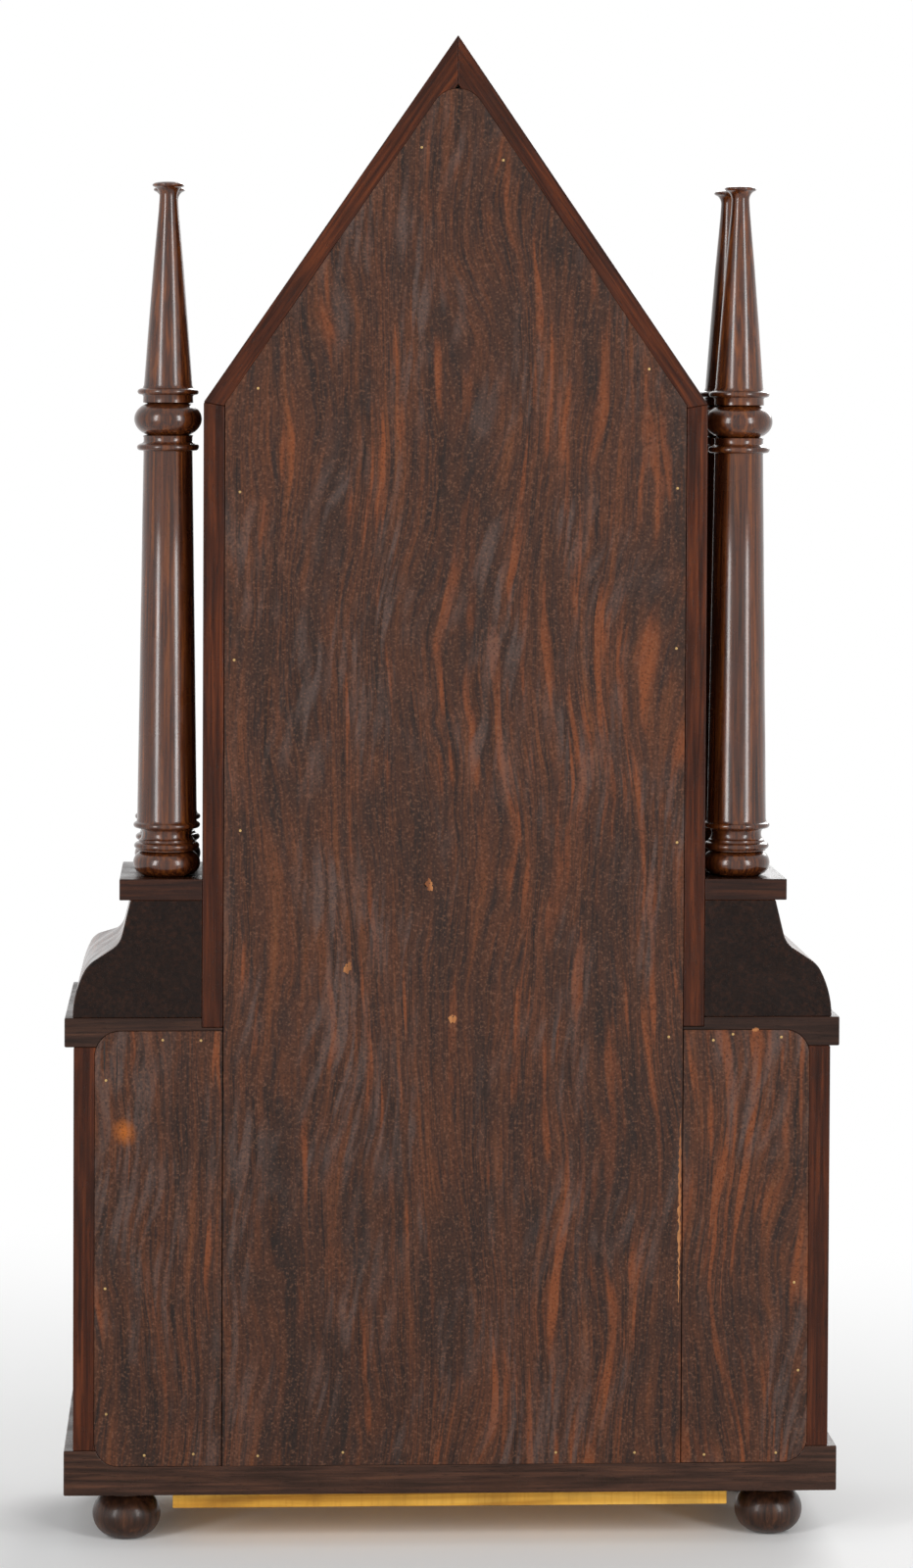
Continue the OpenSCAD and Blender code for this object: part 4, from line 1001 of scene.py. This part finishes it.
@dataclass
class Back:
    """Back boards with nails and marks of age: torn screw points, a chipped seam, splits and a bruise."""

    finish: Finishes
    seed: int = 7

    def boards(self) -> None:
        """Dresses the three back boards."""
        for part in ("center", "left", "right"):
            board = eased_copy(f"back_board_{part}", f"stained_back_board_{part}", 0.35)
            settle(board, "case", self.finish.back)

    def studs(self, name: str, places: list[tuple[float, float]], radius: float, proud: float) -> Piece:
        """Sets one shallow dome at each place on the rear face.

        A dome's points lie on rings whose radius falls with the cosine, and whose height over the board grows
        with the sine, of one angle.

        Args:
            name: Name of the piece.
            places: X and Z of each dome in millimetres.
            radius: Radius of a dome.
            proud: Height of a dome over the board.

        Returns:
            All the domes as one piece.
        """
        rear = box_mm("back_board_center")[2][1]
        rings, sides, sunk = 4, 16, 0.3
        rise = np.radians(np.linspace(0.0, 80.0, rings))[:, None]
        angle = circle(sides)
        wide = radius * np.cos(rise)
        dome = np.stack([wide * np.cos(angle), -sunk + (sunk + proud) * np.sin(rise) + 0 * angle,
                         wide * np.sin(angle)], -1).reshape(-1, 3)
        dome = np.concatenate([dome, [[0.0, proud, 0.0], [0.0, -sunk, 0.0]]])
        spots = np.array(places)
        offset = np.stack([spots[:, 0], np.full(len(spots), rear), spots[:, 1]], -1)
        points = dome[None] + offset[:, None]
        around = np.arange(sides)
        caps = [np.stack([first + around, first + (around + 1) % sides, *[np.full(sides, end)] * 2], -1)
                for first, end in (((rings - 1) * sides, rings * sides), (0, rings * sides + 1))]
        cells = np.concatenate([quads(rings, sides, False, True), *caps])
        faces = (np.arange(len(spots))[:, None, None] * len(dome) + cells).reshape(-1, 4)
        clean = [tuple(dict.fromkeys(face)) for face in faces.tolist()]
        return put(name, points, clean)

    def nails(self) -> None:
        """Drives the brass nails round the edges of the boards, and sets the dark heads of five sunk ones."""
        places = [
            (15.7, 611.5), (-19.8, 606.2), (86.3, 506.7), (-83.9, 515.9), (94.0, 461.7), (96.3, 388.7),
            (93.4, 314.4), (-96.7, 464.0), (-96.6, 394.1), (-97.4, 309.2), (126.8, 223.0), (110.2, 222.8),
            (151.4, 205.5), (-94.3, 223.9), (-113.9, 222.4), (-122.5, 225.0), (-143.8, 223.7), (151.6, 114.4),
            (151.0, 59.4), (134.4, 41.2), (113.0, 41.6), (84.9, 40.6), (47.7, 41.9), (-45.7, 41.2),
            (-80.3, 40.9), (-111.0, 39.8), (-142.6, 40.4), (-150.2, 115.6), (-152.2, 76.8),
        ]
        settle(self.studs("back_nails", places, 1.1, 0.06), "case", self.finish.nail)
        sunk = [(6.8, 42.3), (-4.3, 42.3), (89.8, 514.0), (85.0, 518.0), (-92.0, 509.0)]
        settle(self.studs("sunk_nails", sunk, 1.0, 0.02), "case", self.finish.dark_hole)

    def torn_patches(self) -> None:
        """Breaks the wood out round the three screw points.

        A patch's edge at angle a lies at its radius times one plus a sum of cosines of a, whose turns and
        shifts come from a seeded table.
        """
        rear = box_mm("back_board_center")[2][1]
        table = np.random.default_rng(self.seed)
        sides, steps = 40, 5
        angle = circle(sides)
        for number, (x, z, radius) in enumerate([(10.8, 290.6, 2.5), (46.4, 254.4, 2.6), (0.6, 232.0, 2.3)]):
            shift = table.uniform(0.0, 2 * np.pi, 3)
            edge = radius * (1 + 0.24 * np.cos(2 * angle + shift[0]) + 0.16 * np.cos(5 * angle + shift[1])
                             + 0.10 * np.cos(11 * angle + shift[2]))
            rings = np.linspace(0.0, 1.0, steps)[:, None]
            rise = 0.04 - 0.10 * rings**3 + 0 * angle
            points = np.stack([x + 0.8 * rings * edge * np.cos(angle), rear + rise,
                               z + 1.25 * rings * edge * np.sin(angle)], -1)
            patch = put(f"torn_wood_{number}", points, quads(steps, sides, False, True).tolist())
            settle(patch, "case", self.finish.torn)
        tips = [(10.9, 291.4), (46.6, 255.2), (0.4, 232.9)]
        settle(self.studs("screw_points", tips, 0.8, 0.06), "case", self.finish.dark_hole)

    def ribbon(self, name: str, ends: tuple[tuple[float, float], ...], width: float, ragged: float,
               finish: Material, slot: str) -> None:
        """Lays a narrow ragged mark on the rear face.

        The mark runs straight between its ends. Its two edges stand off by half the width, tapered to nothing
        at the ends by a sine, plus seeded random steps.

        Args:
            name: Name of the piece.
            ends: X and Z of both ends in millimetres.
            width: Greatest width in millimetres.
            ragged: Share of the width that the edges vary by.
            finish: Its material.
            slot: Not used.
        """
        table = np.random.default_rng(self.seed + len(name))
        rear = box_mm("back_board_center")[2][1]
        count = 60
        share = np.linspace(0.0, 1.0, count)
        start, end = np.array(ends[0]), np.array(ends[1])
        line = start + share[:, None] * (end - start)
        square = np.array([end[1] - start[1], start[0] - end[0]]) / np.linalg.norm(end - start)
        half = width / 2 * np.sin(np.pi * np.clip(share, 0.02, 0.98)) ** 0.5
        steps = table.uniform(1 - ragged, 1 + ragged, (2, count))
        left = line + square * (half * steps[0])[:, None]
        right = line - square * (half * steps[1])[:, None]
        rows = np.stack([left, line, right], 0)
        lift = np.array([0.01, 0.05, 0.01])[:, None] * np.ones(count)
        points = np.stack([rows[..., 0], rear + lift, rows[..., 1]], -1)
        settle(put(name, points, quads(3, count, False, False).tolist()), "case", finish)

    def marks(self) -> None:
        """Lays the chipped seam, two splits and a bruise near the mid board."""
        finish = self.finish
        # Splits are dark strips of painted shade in the cracks; the same finish colours the rusted iron heads and
        # tips.
        torn, split = (finish.torn, "raw_pine"), (finish.dark_hole, "back_pine")
        for name, ends, width, ragged, look in (
            ("chipped_seam", ((-99.6, 186.0), (-99.3, 107.0)), 1.0, 0.9, torn),
            ("split_outer_board", ((152.2, 223.0), (152.0, 207.0)), 0.7, 0.5, split),
            ("split_inner_line", ((146.5, 224.0), (146.9, 196.0)), 0.5, 0.5, split),
            ("bruise_near_mid_board", ((-130.9, 226.8), (-134.0, 227.1)), 1.5, 0.6, torn),
        ):
            self.ribbon(name, ends, width, ragged, *look)


@dataclass
class PaintedTablet:
    """Reverse-painted film behind a door's tablet glass: green ground, gilt lines, lattice and wreath."""

    name: str
    node: str
    body: str
    window: float
    cell: float = 1.0

    def colours(self, x: np.ndarray, z: np.ndarray, half: np.ndarray) -> np.ndarray:
        """Works out the paint at each point.

        The ground is a lattice: two sets of slanting lines, each where the fractional part of x plus or minus z
        over a pitch is small. Over it lie two straight gilt frames at fixed distances from the edge, and an
        oval field whose edge is where the squares of x and z over its half axes add to one. Round the oval
        runs a wreath whose width swells with the cosine of many times the angle.

        Args:
            x: Distance from the panel's middle in millimetres.
            z: Height over the panel's middle in millimetres.
            half: Half width and half height of the panel.

        Returns:
            Red, green, blue and alpha of each point, in linear light.
        """
        paint = {key: np.array(linear(value)) for key, value in (
            ("ground", "#20352a"), ("lattice", "#3c5340"), ("gilt", "#b8913f"), ("field", "#d9caa0"),
            ("leaf", "#46602f"), ("petal", "#8f3a2c"), ("rim", "#15110e"))}
        out = np.broadcast_to(paint["ground"], (*x.shape, 4)).copy()
        pitch = 9.0
        for slant in (x + z, x - z):
            out[np.abs((slant / pitch) % 1.0 - 0.5) < 0.07] = paint["lattice"]
        edge = np.minimum(half[0] - np.abs(x), half[1] - np.abs(z))
        out[edge < 5.0] = paint["rim"]
        out[(np.abs(edge - 6.0) < 0.9) | (np.abs(edge - 9.5) < 0.5)] = paint["gilt"]
        wide, tall = half[0] * 0.50, half[1] * 0.66
        wreath = 0.84
        reach = np.hypot(x / wide, z / tall)
        turn = np.arctan2(z / tall, x / wide)
        out[reach < 1.04] = paint["gilt"]
        out[reach < 1.0] = paint["field"]
        leaf = np.abs(reach - wreath) < 0.075 * (0.55 + 0.45 * np.cos(26 * turn + 9 * (reach - wreath) * 8))
        out[leaf] = paint["leaf"]
        out[np.abs(reach - wreath) < 0.008] = paint["gilt"]
        bloom = np.hypot(x, z) / half[1]
        petal = bloom < 0.24 * (0.72 + 0.28 * np.cos(6 * np.arctan2(z, x)))
        out[petal] = paint["petal"]
        out[bloom < 0.06] = paint["gilt"]
        for side in (-1, 1):
            aside = x - side * half[0] * 0.72
            spray = np.hypot(aside, z) / half[1]
            out[spray < 0.30 * (0.60 + 0.40 * np.cos(8 * np.arctan2(z, aside)))] = paint["gilt"]
            out[spray < 0.07] = paint["petal"]
        return out

    def build(self, finish: Finishes) -> None:
        """Lays the painted film just behind the glass, with a round clear window if the panel has one.

        Args:
            finish: The clock's finishes.
        """
        low, middle, high = box_mm(self.node)
        inset, behind = 0.6, 0.12
        half = ((high - low) / 2 - inset)[[0, 2]]
        columns, rows = (int(round(2 * h / self.cell)) + 1 for h in half)
        x, z = np.meshgrid(np.linspace(-half[0], half[0], columns), np.linspace(-half[1], half[1], rows))
        depth = np.full_like(x, high[1] + behind)
        points = np.stack([x + middle[0], depth, z + middle[2]], -1)
        cells = quads(rows, columns, False, False)
        if self.window:
            centre = np.stack([x, z], -1).reshape(-1, 2)[cells].mean(1)
            cells = cells[np.hypot(centre[:, 0], centre[:, 1]) > self.window]
        mesh = bpy.data.meshes.new(self.name)
        mesh.from_pydata((points.reshape(-1, 3) * MM).tolist(), [], cells.tolist())
        layer = mesh.color_attributes.new("paint", "FLOAT_COLOR", "POINT")
        layer.data.foreach_set("color", self.colours(x, z, half).reshape(-1).astype(np.float32))
        mesh.attributes.active_color = layer
        settle(linked(self.name, mesh), self.body, finish.tablet)


@dataclass
class Doors:
    """Both veneered doors with their glasses, tablets, knobs and hinges."""

    finish: Finishes
    knob_radius: float = 7.0
    knob_length: float = 14.0
    door: float = 14.0

    def frames(self) -> None:
        """Dresses the door frames in veneer and the panes in old glass."""
        for which in ("upper", "lower"):
            frame_piece = eased_copy(f"{which}_door_frame", f"{which}_door_veneer", 0.6)
            settle(frame_piece, f"{which}_door", self.finish.veneer)
            refinish(f"{which}_door_tablet", self.finish.glass)
            refinish(f"{which}_door_hinges", self.finish.hinge_brass)
        refinish("upper_door_glass", self.finish.glass)
        refinish("case_hinge_leaves", self.finish.hinge_brass)
        PaintedTablet("lower_tablet_paint", "lower_door_tablet", "lower_door", 0.0).build(self.finish)
        PaintedTablet("upper_tablet_paint", "upper_door_tablet", "upper_door", 10.0, 0.6).build(self.finish)

    def knob_profile(self) -> Profile:
        """Gives the knob's outline with its spindle: collar, thin neck, flattened ball and a small button."""
        r, out = self.knob_radius, self.knob_length
        pin, inner = 1.95, -self.door - 2.9
        return [
            (0.0, inner), (pin, inner), (pin, 0.25), (r * 0.75, 0.25), (r * 0.8, 0.8),
            (r * 0.74, 1.5), (r * 0.58, 2.0), (r * 0.44, 3.2), (r * 0.40, 4.6), (r * 0.44, 5.6),
            *arc(0.0, out - r * 0.62, r, r * 0.62, -58.0, 76.0, 20), (r * 0.2, out - 0.25), (0.0, out),
        ]

    def knobs(self) -> None:
        """Turns the two knobs and files their catches."""
        for which in ("upper", "lower"):
            low, middle, high = box_mm(f"{which}_door_knob")
            x, face = middle[0], box_mm(f"{which}_door_frame")[0][1]
            knob = turned(f"{which}_knob", self.knob_profile(), (x, face, low[2] + self.knob_radius), "F")
            settle(knob, f"{which}_knob", self.finish.knob)
            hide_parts(f"{which}_door_knob")
            foot, top = low[2] + self.knob_radius - 3.0, high[2]
            wide, slim, thick = 2.4, 1.5, 2.0
            catch = np.array([[[x - wide, foot], [x + wide, foot], [x + slim, top], [x - slim, top]]])
            plate = prisms(f"{which}_catch", catch, high[1], thick)
            settle(plate, f"{which}_knob", self.finish.hinge_brass)

    def build(self) -> None:
        """Builds both doors."""
        self.frames()
        self.knobs()


@dataclass
class Dial:
    """Pointed painted dial with a Roman hour circle, a minute track, eyelets and blued hands."""

    finish: Finishes
    centre: float = 459.7
    numeral_foot: float = 50.0
    numeral_height: float = 13.0
    track: tuple[float, float] = (65.6, 69.6)
    paint: float = 0.1
    stroke: float = 2.1
    hairline: float = 0.7

    def glyph(self, letter: str, at: float) -> tuple[list, float]:
        """Draws one Roman letter as strokes.

        Args:
            letter: I, V or X.
            at: Where the letter starts, in millimetres.

        Returns:
            Strokes as four corners each, and the width that the letter takes.
        """
        tall, thick, thin = self.numeral_height, self.stroke, self.hairline
        if letter == "I":
            return [[(at, 0), (at + thick, 0), (at + thick, tall), (at, tall)]], thick
        if letter == "V":
            wide = 7.2
            foot = at + wide / 2 - 0.5
            return [[(foot, 0), (foot + thin, 0), (at + thick, tall), (at, tall)],
                    [(foot, 0), (foot + thin, 0), (at + wide, tall), (at + wide - thin, tall)]], wide
        wide = 7.4
        return [[(at + wide - thick, 0), (at + wide, 0), (at + thick, tall), (at, tall)],
                [(at, 0), (at + thin, 0), (at + wide, tall), (at + wide - thin, tall)]], wide

    def numerals(self) -> np.ndarray:
        """Lays the twelve numerals round the dial, their feet toward the centre.

        A corner at t to the side and r outward goes to the centre plus r along the hour's direction, the sine
        and cosine of its angle, and t along the direction square to it.

        Returns:
            Corners as X and Z, an array of strokes by four by two.
        """
        names = ("XII", "I", "II", "III", "IIII", "V", "VI", "VII", "VIII", "IX", "X", "XI")
        gap, strokes, turns = 1.1, [], []
        serif = 0.6
        for hour, word in enumerate(names):
            at, letters = 0.0, []
            for letter in word:
                shapes, wide = self.glyph(letter, at)
                letters += shapes
                at += wide + gap
            width = at - gap
            for level in (0.0, self.numeral_height - self.hairline):
                letters.append([(-serif, level), (width + serif, level),
                                (width + serif, level + self.hairline), (-serif, level + self.hairline)])
            strokes += [[(t - width / 2, r + self.numeral_foot) for t, r in shape] for shape in letters]
            turns += [hour * np.pi / 6] * len(letters)
        return self.around(np.array(strokes), np.array(turns))

    def around(self, flat: np.ndarray, turn: np.ndarray) -> np.ndarray:
        """Turns flat shapes round the dial centre, each by its own clockwise angle."""
        side, out = flat[..., 0], flat[..., 1]
        sine, cosine = np.sin(turn)[:, None], np.cos(turn)[:, None]
        return np.stack([out * sine + side * cosine, self.centre + out * cosine - side * sine], -1)

    def minute_track(self) -> np.ndarray:
        """Lays two rings, made of 180 short chords each, and a bar at every minute."""
        low, high = self.track
        count, thick = 180, 0.2
        chord = np.pi * high / count + 0.05
        bars = [(chord, radius - thick, radius + thick, 2 * np.pi * number / count)
                for radius in (low, high) for number in range(count)]
        bars += [(0.25 if minute % 5 else 0.55, low, high, minute * np.pi / 30) for minute in range(60)]
        shapes = [[(-half, foot), (half, foot), (half, top), (-half, top)] for half, foot, top, _ in bars]
        turns = [bar[3] for bar in bars]
        return self.around(np.array(shapes), np.array(turns))

    def eyelets(self, face: float) -> None:
        """Sets a brass eyelet in each winding hole and in the centre hole.

        Args:
            face: Y of the dial's face in millimetres.
        """
        outline = ((-0.35, -0.7), (-0.35, 0.15), (0.0, 0.4), (0.7, 0.4), (1.1, 0.05), (-0.1, 0.05),
                   (-0.1, -0.7))
        holes = (("left", -31.0, 11.6, 5.0), ("right", 31.0, 11.6, 5.0), ("center", 0.0, 0.0, 5.5))
        for name, x, drop, inner in holes:
            ring = [(inner + out, height) for out, height in outline]
            eyelet = turned(f"dial_eyelet_{name}", ring + ring[:1], (x, face, self.centre - drop), "F", 64)
            settle(eyelet, "case", self.finish.hinge_brass)

    def build(self) -> None:
        """Paints the dial, lays its figures and dresses the hands."""
        face = box_mm("dial")[0][1]
        settle(eased_copy("dial", "painted_dial_plate", 0.15), "case", self.finish.dial)
        for name, shapes in (("hour_numerals", self.numerals()), ("minute_track", self.minute_track())):
            settle(prisms(name, shapes, face, self.paint), "case", self.finish.numeral)
        self.eyelets(face)
        for hand in ("hour", "minute"):
            piece = eased_copy(f"{hand}_hand", f"blued_{hand}_hand", 0.12)
            settle(piece, hand, self.finish.blued)


@dataclass
class Works:
    """Brass movement, pendulum, gong, hammer, leaf spring, levers and pull cords."""

    finish: Finishes
    gong_centre: tuple[float, float] = (12.0, 291.0)
    gong_inner: float = 5.6
    gong_outer: float = 46.0
    gong_turns: int = 5
    gong_wire: float = 1.3
    bob_radius: float = 16.0
    line_radius: float = 0.9
    line_x: float = 40.0
    spring_line_x: float = 120.0
    drum_z: float = 448.1
    lever_z: float = 121.3
    lever_x: float = 143.0
    lever_turn: float = 14.0
    tail_top: float = 4.2
    tail_foot: float = -7.6
    tail_knot: float = -5.5
    spring_top: float = 10.2
    spring_knot: float = 8.0
    split_z: float = 245.0
    knot_swell: float = 1.15
    knot_length: float = 1.05

    def metals(self) -> None:
        """Refinishes the CAD nodes of the movement that stay in view, each by its own metal."""
        finish = self.finish
        plan = {
            finish.plates: ("movement_back_plate", "movement_front_plate"),
            finish.wheels: ("movement_pillars", "hour_wheel", "minute_wheel", "center_arbor", "time_drum",
                            "time_great_wheel", "third_wheel", "escape_wheel", "strike_drum",
                            "strike_great_wheel", "strike_pin_wheel"),
            finish.steel: ("verge", "pendulum_rod", "hammer"),
        }
        for metal, nodes in plan.items():
            for node in nodes:
                refinish(node, metal)
        iron = {"gong_base": "case", "iron_brackets": "case", "lever_left": "left_lever",
                "lever_right": "right_lever"}
        for node, body in iron.items():
            settle(eased_copy(node, node + "_cast", 0.5), body, finish.iron)
        settle(eased_copy("leaf_spring", "leaf_spring_steel", 0.25), "case", finish.spring)

    def gong(self) -> None:
        """Winds the gong: a flat spiral whose radius grows evenly with the angle, swept with round wire."""
        depth = box_mm("gong_coil")[1][1]
        angle = np.linspace(0.0, 2 * np.pi * self.gong_turns, 60 * self.gong_turns + 1)
        radius = self.gong_inner + (self.gong_outer - self.gong_inner) * angle / angle[-1]
        x, z = self.gong_centre
        path = np.stack([x + radius * np.cos(angle), np.full_like(angle, depth),
                         z + radius * np.sin(angle)], -1)
        coil = swept("gong_spiral", path, self.gong_wire, 12)
        settle(coil, "case", self.finish.blued)
        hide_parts("gong_coil")

    def pendulum(self) -> None:
        """Turns the domed bob and its rating nut."""
        _, middle, high = box_mm("pendulum_bob")
        r = self.bob_radius
        centre = (0.0, middle[1], high[2] - r)
        rim, swell = 1.0, 3.0
        face = [(r * math.cos(a), rim + swell * math.sin(a)) for a in np.radians(np.linspace(0, 90, 24))][:-1]
        back = [(x, -h) for x, h in reversed(face)]
        outline = [(0.0, -rim - swell), *back, *face, (0.0, rim + swell)]
        bob = turned("pendulum_bob_disc", outline, centre, "F", 96)
        settle(bob, "pendulum", self.finish.wheels)
        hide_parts("pendulum_bob")
        nut = [(0.0, -6.0), (0.9, -6.0), (0.9, -4.0), (2.6, -4.0), (3.0, -3.6), (3.0, -1.8), (2.6, -1.4),
               (0.9, -1.4), (0.9, 1.0), (0.0, 1.0)]
        screw = turned("rating_nut", nut, (centre[0], centre[1], centre[2] - r), "Z", 40)
        settle(screw, "pendulum", self.finish.wheels)

    def knotted(self, heights: np.ndarray, knot: float) -> np.ndarray:
        """Gives a cord's radius at each height, with one knot in it.

        The knot is a swelling that falls off with the square of the distance from its middle, as a bell curve.

        Args:
            heights: Heights along the cord in millimetres.
            knot: Height of the knot's middle.

        Returns:
            The radius at each height.
        """
        return self.line_radius + self.knot_swell * np.exp(-((heights - knot) / self.knot_length) ** 2)

    def drum_line(self, side: str, sign: int, depth: float) -> None:
        """Reeves one cord from its drum to its lever, and ties its tail under the lever.

        The tail rides on the lever.

        Args:
            side: Name of the train.
            sign: Plus one toward +X, minus one toward -X.
            depth: Y of the cord in millimetres.
        """
        top = self.lever_z + self.tail_top
        x = sign * self.line_x
        parts = []
        for label, start, end in (("drum_line", self.drum_z, self.split_z),
                                  ("drum_line_foot", self.split_z - 0.05, top + 0.25)):
            path = upright_line(x, depth, np.linspace(start, end, 16))
            part = swept(f"{side}_{label}", path, self.line_radius, 12)
            settle(part, "case", self.finish.cord)
            parts.append((part, path))
        heights = np.linspace(self.lever_z + self.tail_foot, top, 30)
        run = upright_line(x, depth, heights)
        tail = swept(f"{side}_line_tail", run, self.knotted(heights, self.lever_z + self.tail_knot), 12)
        lever = "right_lever" if sign > 0 else "left_lever"
        settle(tail, lever, self.finish.cord)
        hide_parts(f"{side}_lines")
        foot, path = parts[1]
        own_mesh(foot)

    def spring_line(self, side: str, sign: int, depth: float, foot: float) -> None:
        """Reeves one cord from the end of the spring up through its lever, with a knot on top.

        Args:
            side: Name of the train.
            sign: Plus one toward +X, minus one toward -X.
            depth: Y of the cord in millimetres.
            foot: Height of its lower end in millimetres.
        """
        heights = np.linspace(foot, self.lever_z + self.spring_top, 40)
        x = sign * self.spring_line_x
        path = upright_line(x, depth, heights)
        short = swept(f"{side}_spring_line", path, self.knotted(heights, self.lever_z + self.spring_knot), 12)
        short.data.materials.append(self.finish.cord)
        lever = "right_lever" if sign > 0 else "left_lever"
        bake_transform(short, "case", lever, tuple(path[0] * MM), (x * MM, depth * MM, (self.lever_z - 5.6) * MM))
        log.info("%s: %d points between case and %s", short.name, len(short.data.vertices), lever)

    def lines(self) -> None:
        """Reeves the pull cords of both trains."""
        for side, sign in (("time", 1), ("strike", -1)):
            low, middle, _ = box_mm(f"{side}_lines")
            self.drum_line(side, sign, middle[1])
            self.spring_line(side, sign, middle[1], low[2])

    def build(self) -> None:
        """Builds and dresses the works."""
        self.metals()
        self.gong()
        self.pendulum()
        self.lines()


@dataclass
class Studio:
    """White sweep, two upright strip lamps on the camera's side, behind the clock, and a soft one in front."""

    place: Triple = (104.8, 2058.5, 498.7)
    yaw: float = 3.021
    pitch: float = 1.764
    roll: float = 0.271
    lens: float = 105.2
    shift: float = -0.15

    def camera(self) -> None:
        """Sets the camera behind the clock, a little above and to one side.

        Its forward direction turns from -Y by the yaw and down by the pitch. Its right and up directions are
        then turned about it by the roll.
        """
        yaw, pitch, roll = (math.radians(a) for a in (self.yaw, self.pitch, self.roll))
        ahead = np.array([-math.sin(yaw) * math.cos(pitch), -math.cos(yaw) * math.cos(pitch), -math.sin(pitch)])
        right = np.cross(ahead, [0.0, 0.0, 1.0])
        right /= np.linalg.norm(right)
        up = np.cross(right, ahead)
        level, tilt = math.cos(roll), math.sin(roll)
        turn = np.eye(4)
        turn[:3, 0], turn[:3, 1], turn[:3, 2] = right * level + up * tilt, up * level - right * tilt, -ahead
        turn[:3, 3] = np.array(self.place) * MM
        data = bpy.data.cameras.new("camera")
        data.lens, data.sensor_width, data.shift_y = self.lens, 36.0, self.shift
        data.clip_start, data.clip_end = 0.05, 60.0
        eye = linked("camera", data)
        eye.matrix_world = Matrix(turn.tolist())
        bpy.context.scene.camera = eye

    def lamp(self, name: str, spot: Triple, target: Triple, size: tuple[float, float], power: float) -> None:
        """Hangs one soft lamp.

        Args:
            name: Name of the lamp.
            spot: Its place in metres.
            target: Point that it faces.
            size: Width and height of its face in metres.
            power: Its power in watts.
        """
        data = bpy.data.lights.new(name, "AREA")
        data.shape, data.size, data.size_y, data.energy = "RECTANGLE", size[0], size[1], power
        lamp = linked(name, data)
        lamp.location = spot
        lamp.rotation_euler = (Vector(target) - Vector(spot)).to_track_quat("-Z", "Y").to_euler()

    def seen(self, tree: bpy.types.NodeTree) -> Socket:
        """Gives one for camera, mirror and glass rays, and zero for the rest.

        Args:
            tree: Node tree that takes the nodes.

        Returns:
            The socket of that value.
        """
        rays = add(tree, "LightPath").outputs
        value = rays["Is Camera Ray"]
        for kind in ("Is Glossy Ray", "Is Transmission Ray"):
            joined = add(tree, "Math", {"operation": "ADD", "use_clamp": True}, {0: value, 1: rays[kind]})
            value = joined.outputs[0]
        return value

    def floor(self) -> None:
        """Lays a plain pale floor, and lets camera, mirror and glass rays see it as white paper."""
        skin = Skin("pale_paper_floor")
        for name, value in (("Base Color", linear("#f7f7f6")), ("Roughness", 0.9), ("Specular IOR Level", 0.1)):
            skin.shader.inputs[name].default_value = value
        away = skin.add("VectorMath", {"operation": "LENGTH"}, {0: skin.place}).outputs["Value"]
        near, far = 0.25, 0.75
        fade = skin.spread(away, near, far, 0.0, 1.0)
        share = skin.maths("MULTIPLY", fade, self.seen(skin.tree))
        white = skin.add("Emission", {"Color": WHITE, "Strength": 1.0})
        both = skin.add("MixShader", links={0: share, 1: skin.shader.outputs[0], 2: white.outputs[0]})
        skin.tree.links.new(both.outputs[0], skin.tree.nodes["Material Output"].inputs["Surface"])
        side = 12.0
        corners = np.array([[-side, -side, 0.0], [side, -side, 0.0],
                            [side, side, 0.0], [-side, side, 0.0]]) / MM
        ground = put("floor", corners, [(0, 1, 2, 3)], smooth=False)
        ground.data.materials.append(skin.material)

    def world(self) -> None:
        """Lights the room softly. Camera, mirror and glass rays see plain white instead."""
        world = bpy.data.worlds.new("studio_room")
        bpy.context.scene.world = world
        world.use_nodes = True
        tree = world.node_tree
        tree.nodes.clear()
        seen = self.seen(tree)
        room = add(tree, "Background", {"Color": linear("#f2f3f5"), "Strength": 0.5})
        white = add(tree, "Background", {"Color": WHITE, "Strength": 1.0})
        both = add(tree, "MixShader", links={0: seen, 1: room.outputs[0], 2: white.outputs[0]})
        add(tree, "OutputWorld", links={"Surface": both.outputs[0]})

    def build(self) -> None:
        """Builds the camera, the room and its lamps."""
        self.camera()
        self.world()
        self.floor()
        middle = (0.0, 0.0, 0.33)
        for side, spot in (("left", (1.45, 1.6, 0.8)), ("right", (-1.3, 1.75, 0.8))):
            self.lamp(f"strip_lamp_{side}", spot, middle, (0.4, 1.5), 24.0)
        self.lamp("soft_lamp_front", (-0.8, -2.0, 1.4), middle, (1.4, 1.2), 34.0)
        bpy.context.scene.view_settings.view_transform = "Standard"


def main() -> None:
    """Builds the clock's pieces in order."""
    logging.basicConfig(level=logging.INFO, format="%(name)s: %(message)s")
    Studio().build()
    finish = Finishes.mixed()
    Works(finish).build()
    case = Case(finish)
    case.boards()
    case.feet()
    Candlesticks(finish).build()
    back = Back(finish)
    back.boards()
    back.nails()
    back.torn_patches()
    back.marks()
    Doors(finish).build()
    Dial(finish).build()


if __name__ == "__main__":
    main()
